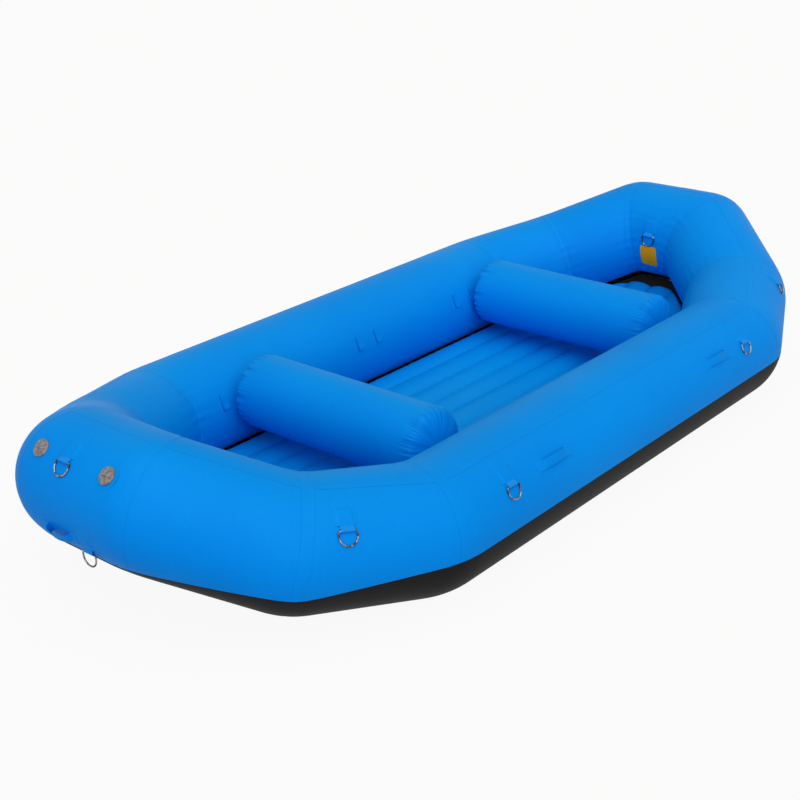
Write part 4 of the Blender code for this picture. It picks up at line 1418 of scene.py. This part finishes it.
def addHandle(name, where, sizes):
    # Along the arch the strap leans, its upper edge further off the skin.
    s, lift = handlePath(sizes)
    path = onSkin(where, s, 0 * s, lift)
    ahead = unit(np.gradient(path, axis=0))
    radial, upSkin = offSkin(where)
    lean = smooth(lift, lift.min(), lift.min() + handle["leanRise"])[:, None]
    lean = math.radians(handle["lean"]) * lean
    across = upSkin * np.cos(lean) + radial * np.sin(lean)
    section = strapSection(handle["width"], handle["thick"])
    strap = swept(path, across, np.cross(across, ahead), section, closed=False)
    addPiece(f"{name}Strap", [strap], bluePvc, stands=[name], sharp=50)
    half = sizes["length"] / 2
    edge = handle["width"] / 2

    def overStrap(s, t):
        # A smooth step at the strap's edges and at its end.
        beside = 1 - smooth(np.abs(t), edge - 0.001, edge + 0.003)
        return handle["coverRise"] * beside * (1 - smooth(np.abs(s), half, half + 0.004))

    covers = []
    rows = []
    high = handleBase + handle["thick"] + handle["stitchLift"]
    up = handle["stitchHalf"]
    for way in (-1, 1):
        middle = way * (half - handle["coverInset"])
        covers += pad(where, (middle, 0), handle["coverHalf"], handle["coverThick"], overStrap)
        inner = way * (half - sizes["pad"] + handle["stitchInset"])
        rows += stitchRow(where, (inner, -up), (inner, up), high)
    addPiece(f"{name}Covers", covers, bluePvc)
    addPiece(f"{name}Stitches", rows, blueThread)


for endName, end in ends.items():
    for sideName, side in sides.items():
        where = skinPlace(end, side, 0, handle["grabSetback"][endName], handle["grabElevation"])
        addHandle(f"{endName}_{sideName}_handle", where, handle["grab"])
    where = acrossEnd(end, handle["carryY"][endName], handle["carryElevation"])
    addHandle(f"{endName}_handle", where, handle["carry"])
print("handles made")


# Inflation valves: a flanged body, a push plunger and a cap with a grip bar

valve = {
    "setback": 0.011,
    "elevation": 45.0,
    "flange": 0.0330,
    "barrel": 0.0250,
    "bore": 0.0215,
    "depth": 0.030,
    "flangeThick": 0.0030,
    "webDepth": 0.0215,
    "webThick": 0.0025,
    "edges": (0.0005, 0.0006, 0.0006),  # of body, plunger and cap
    "steps": (64, 40, 72),
    "stem": 0.0040,
    "stemClearance": 0.0006,
    "poppet": 0.0235,
    "poppetThick": 0.0030,
    "button": 0.0075,
    "buttonThick": 0.0025,
    "buttonDepth": 0.0070,
    "capThick": 0.0046,
    "capTop": 0.0230,
    "crownFall": 0.0022,
    "crownReach": 0.96,
    "step": (0.0035, 0.0028, 0.0012),  # in from the rim twice, and up
    "skirt": 0.0207,
    "skirtWall": 0.0025,
    "skirtDepth": 0.0077,
    "capHollow": 0.0008,
    "grip": (0.023, 0.004, 0.0081),
    "gripSink": 0.002,
}


def outwardMatrix(middle, degrees, reach, end=1):
    # Local Z leans from straight up towards the end, and the origin lies that far along it.
    angle = math.radians(degrees)
    out = np.array([end * math.sin(angle), 0.0, math.cos(angle)])
    across = np.array([0.0, 1.0, 0.0])
    return placeMatrix(middle + out * reach, across, np.cross(out, across))


def valveMatrix(end, side):
    # Straight out of the skin, on the span across an end.
    middle = corners[4] * [end, side, 1] + [0, side * (tube["endHalf"] - valve["setback"]), 0]
    return outwardMatrix(middle, valve["elevation"], skinCorner, end)


def valveParts():
    # Body: a flange on a barrel, and across its bore a web with a hole for the stem.
    # Plunger: a button, its stem, and the poppet that closes the barrel from inside.
    # Cap: a skirt under a crown that falls from the middle as 1 - sqrt(1 - k^2), and a grip bar.
    edges = valve["edges"]
    steps = valve["steps"]
    gap = tube["gap"]
    top = valve["flangeThick"] + gap
    webTop = -valve["webDepth"]
    guide = valve["stem"] + valve["stemClearance"]
    body = [
        (valve["bore"], webTop),
        (valve["bore"], top),
        (valve["flange"], top),
        (valve["flange"], gap),
        (valve["barrel"], gap),
        (valve["barrel"], -valve["depth"]),
        (valve["bore"], -valve["depth"]),
        (valve["bore"], webTop - valve["webThick"]),
        (guide, webTop - valve["webThick"]),
        (guide, webTop),
        (valve["bore"], webTop),
    ]
    bodyPart = turned(rounded(body, edges[0]), steps[0])
    poppetTop = -valve["depth"] - gap
    plunger = [
        (0.0, -valve["buttonDepth"]),
        (valve["button"], -valve["buttonDepth"]),
        (valve["button"], -valve["buttonDepth"] - valve["buttonThick"]),
        (valve["stem"], -valve["buttonDepth"] - valve["buttonThick"]),
        (valve["stem"], poppetTop),
        (valve["poppet"], poppetTop),
        (valve["poppet"], poppetTop - valve["poppetThick"]),
        (0.0, poppetTop - valve["poppetThick"]),
    ]
    plungerPart = turned(rounded(plunger, edges[1]), steps[1])
    low = top + gap
    high = low + valve["capThick"]
    k = np.linspace(0, valve["crownReach"], 9)
    fall = valve["crownFall"] * (1 - np.sqrt(1 - k**2))
    first, second, rise = valve["step"]
    cap = [
        *zip(k * valve["capTop"] / valve["crownReach"], high - fall),
        (valve["flange"] - first, low + valve["crownFall"]),
        (valve["flange"] - second, low + rise),
        (valve["flange"], low + rise),
        (valve["flange"], low),
        (valve["skirt"], low),
        (valve["skirt"], low - valve["skirtDepth"]),
        (valve["skirt"] - valve["skirtWall"], low - valve["skirtDepth"]),
        (valve["skirt"] - valve["skirtWall"], low + valve["capHollow"]),
        (0.0, low + valve["capHollow"]),
    ]
    capPart = turned(rounded(cap, edges[2]), steps[2])
    return [bodyPart], [plungerPart], [capPart, gripPart(high - valve["gripSink"])]


def gripPart(low):
    # The bar's plan is |x/a|^4 + |y/b|^4 = 1, and its side view |r|^4 + |z/h|^4 = 1.
    a, b, height = valve["grip"]
    phi = turn(48)
    rise = np.radians(np.linspace(0, 90, 9))
    r = np.append(0.0, np.abs(np.cos(rise)) ** 0.5)
    r[-1] = 0.0
    z = np.append(low, low + height * np.sin(rise) ** 0.5)
    x = a * signedPower(np.cos(phi), 0.5)[:, None] * r
    y = b * signedPower(np.sin(phi), 0.5)[:, None] * r
    return gridPart(np.stack([x, y, z + 0 * x], -1), (True, False))


def addValves():
    body, plunger, cap = valveParts()
    kinds = (
        ("body", body, greyPlastic, "grey_valve_plastic"),
        ("plunger", plunger, whitePlastic, "white_valve_plastic"),
        ("cap", cap, greyPlastic, "grey_valve_plastic"),
    )
    for label, end, side in quarters:
        matrix = valveMatrix(end, side)
        for kind, parts, material, slot in kinds:
            addPiece(
                f"{label}Valve{kind.capitalize()}",
                [moved(part, matrix) for part in parts],
                material,
                body="hull" if kind == "body" else f"{label}_{kind}_body",
                stands=[f"{label}_valve_{kind}"],
            )


addValves()


# Plug valves on thwarts and floor, and the floor's pressure relief

plug = {
    "radius": 0.020,
    "top": 0.016,
    "chamfer": 0.0012,
    "height": 0.006,
    "dish": (0.009, 0.010, 0.001),  # radius below, radius above, depth
    "flange": 0.003,
    "barrel": 0.014,
    "depth": 0.018,
    "edge": 0.0007,
    "steps": 144,
    "knurls": 24,
    "knurl": 0.04,
    "knurlFrom": (0.0145, 0.016),
    "thwartY": 0.20,
    "thwartAngle": 118.0,
    "floorReach": 0.157,
    "floorChannel": 1,
}


def thwartPlugMatrix(x, lift):
    # Straight out of a thwart's side.
    middle = np.array([x, plug["thwartY"], tube["radius"] + lift])
    return outwardMatrix(middle, plug["thwartAngle"], thwart["radius"] + tube["gap"])


def floorPlugMatrix(end):
    # On the crown of a channel, tilted as the floor is there.
    x = end * (tube["sideHalf"] + plug["floorReach"])
    share = (plug["floorChannel"] + 0.5) / floor["channels"]
    width = floorOutline(floorInsets)[0, 1]
    rise = floorHeight(x + 0.005) - floorHeight(x - 0.005)
    along = unit(np.array([0.01, 0.0, rise]))
    origin = [x, (2 * share - 1) * width, floorHeight(x) + floor["halfThick"] + tube["gap"]]
    return placeMatrix(origin, along, np.array([0.0, 1.0, 0.0]))


def plugPart():
    # A knurled cap: between its two edges the radius dips by 4% of (1 + cos(24 angle)) / 2.
    inner, outer, deep = plug["dish"]
    profile = [
        (0.0, plug["height"] - deep),
        (inner, plug["height"] - deep),
        (outer, plug["height"]),
        (plug["top"], plug["height"]),
        (plug["top"] + plug["chamfer"], plug["flange"] + plug["chamfer"]),
        (plug["radius"], plug["flange"]),
        (plug["radius"], 0.0),
        (plug["barrel"], 0.0),
        (plug["barrel"], -plug["depth"]),
        (0.0, -plug["depth"]),
    ]
    part = turned(rounded(profile, plug["edge"]), plug["steps"])
    points = part["points"].copy()
    angle = np.arctan2(points[:, 1], points[:, 0])
    rim = smooth(np.hypot(points[:, 0], points[:, 1]), *plug["knurlFrom"])
    rim = rim * smooth(points[:, 2], plug["flange"], plug["flange"] + 0.001)
    dip = plug["knurl"] * rim * (0.5 + 0.5 * np.cos(plug["knurls"] * angle))
    points[:, :2] *= (1 - dip)[:, None]
    return dict(part, points=points)


plugPlaces = {f"{name}_valve": thwartPlugMatrix(*at) for name, at in thwart["places"].items()}
plugPlaces["floor_valve"] = floorPlugMatrix(1)
plugPlaces["relief_valve"] = floorPlugMatrix(-1)
for name, matrix in plugPlaces.items():
    part = moved(plugPart(), matrix)
    addPiece(f"{name}Plug", [part], greyPlastic, stands=[name])
print("valves made")


# Lacing tabs inside the side tubes, valve collars and the plain patch inside the stern

trim = {
    "tabPlaces": (-0.92, -0.79, -0.055, 0.073, 0.68, 0.81),
    "tabElevation": 69.0,
    "tabHalf": (0.021, 0.035),
    "tabThick": 0.0015,
    "tabRise": 0.0085,
    "tabPower": 12.0,
    "smallTabElevation": 122.5,
    "smallTabHalf": (0.026, 0.009),
    "smallTabMiddle": (0.02, 0),
    "smallTabThick": 0.003,
    "smallTabPower": 6.0,
    "collarHalf": (0.048, 0.048),
    "collarThick": 0.0003,
    "collarPower": 2.0,
    "yellowHalf": (0.048, 0.058),
    "yellowElevation": 106.5,
    "yellowThick": 0.0008,
    "yellowPower": 14.0,
}


def addTabs():
    # The tabs stand proud at their lower edge and at the edge nearest the bow. Their rims are painted
    # fully dark as shade.
    tabs = []
    half = trim["tabHalf"]
    power = trim["tabPower"]
    for side in sides.values():
        for x in trim["tabPlaces"]:
            setback = tube["sideHalf"] - abs(x)
            where = skinPlace(1 if x >= 0 else -1, side, 0, setback, trim["tabElevation"], True)
            bowward = -where["along"][0]

            def tabRise(s, t):
                a, b = s * bowward / half[0], -t / half[1]
                return trim["tabRise"] * np.clip(0.5 * (smooth(a, 0, 1) + smooth(b, 0, 1)), 0, 1)

            tabs += pad(where, (0, 0), half, trim["tabThick"], tabRise, power, paintedDarkness=1.0)
    small = acrossEnd(1, 0.0, trim["smallTabElevation"], True)
    sizes = (trim["smallTabMiddle"], trim["smallTabHalf"], trim["smallTabThick"])
    tabs += pad(small, *sizes, power=trim["smallTabPower"])
    addPiece("lacingTabs", tabs, bluePvc)


def addCollars():
    # A round patch under each inflation valve's flange.
    collars = []
    sizes = (trim["collarHalf"], trim["collarThick"])
    for label, end, side in quarters:
        where = acrossEnd(end, side * (tube["endHalf"] - valve["setback"]), valve["elevation"])
        collars += pad(where, (0, 0), *sizes, power=trim["collarPower"])
    addPiece("valveCollars", collars, bluePvc)


def addPatch():
    where = acrossEnd(1, 0.0, trim["yellowElevation"], True)
    sizes = (trim["yellowHalf"], trim["yellowThick"])
    addPiece("plainPatch", pad(where, (0, 0), *sizes, power=trim["yellowPower"]), yellowPvc)


addTabs()
addCollars()
addPatch()
for name in ("baffle_bow", "baffle_stern", "baffle_port", "baffle_starboard"):
    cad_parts[name].data.materials.clear()
    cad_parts[name].data.materials.append(blackPlastic)
print("trim made")


# Studio: a white ground that keeps the shadow, and broad soft lamps

studio = {
    "groundHalf": 60.0,
    "groundDrop": 0.0006,
    "groundColour": (0.50, 0.50, 0.50),
    "groundWhite": 0.93,
    "worldStrength": 0.34,
    "lamps": (  # name, direction to it, width in degrees, strength, colour
        ("topLamp", (-0.10, -0.22, 1.0), 80.0, 1.42, (1.0, 0.98, 0.66)),
        ("frontLamp", (-0.42, -0.88, 0.50), 60.0, 1.10, (0.74, 0.72, 1.0)),
        ("bowLamp", (-1.0, -0.25, 0.35), 60.0, 0.85, (0.70, 0.68, 1.0)),
    ),
}


def viewRays(f):
    # 1 for the rays of cameras, mirrors and glass, and 0 for the light that falls on things.
    kinds = ("Is Camera Ray", "Is Glossy Ray", "Is Transmission Ray")
    seen = [f.node("ShaderNodeLightPath", None, None, kind) for kind in kinds]
    return (seen[0] + seen[1] + seen[2]).ease(0.0, 1.0)


def addGround():
    half, z = studio["groundHalf"], -studio["groundDrop"]
    square = [(-half, -half, z), (half, -half, z), (half, half, z), (-half, half, z)]
    mesh = bpy.data.meshes.new("ground")
    mesh.from_pydata(square, [], [(0, 1, 2, 3)])
    f = newFinish("groundPaper")
    white = f.node("ShaderNodeEmission", None, {"Color": (1, 1, 1, 1), "Strength": 1.0})
    paper = f.node("ShaderNodeBsdfDiffuse", None, {"Color": (*studio["groundColour"], 1.0)})
    share = viewRays(f) * studio["groundWhite"]
    mixed = f.node("ShaderNodeMixShader", None, {0: share, 1: paper, 2: white})
    f.node("ShaderNodeOutputMaterial", None, {"Surface": mixed})
    mesh.materials.append(f.owner)
    newObject("ground", mesh)


def addWorld():
    world = bpy.data.worlds.new("studioWorld")
    bpy.context.scene.world = world
    f = Finish(world)
    strength = studio["worldStrength"] + viewRays(f) * (1.0 - studio["worldStrength"])
    back = f.node("ShaderNodeBackground", None, {"Color": (1, 1, 1, 1), "Strength": strength})
    f.node("ShaderNodeOutputWorld", None, {"Surface": back})


def addLamps():
    for name, direction, width, strength, colour in studio["lamps"]:
        data = bpy.data.lights.new(name, "SUN")
        data.angle = math.radians(width)
        data.energy = strength
        data.color = colour
        lamp = newObject(name, data)
        lamp.rotation_euler = Vector(direction).to_track_quat("Z", "Y").to_euler()


addGround()
addWorld()
addLamps()
bpy.context.scene.view_settings.view_transform = "Standard"
print("studio set")
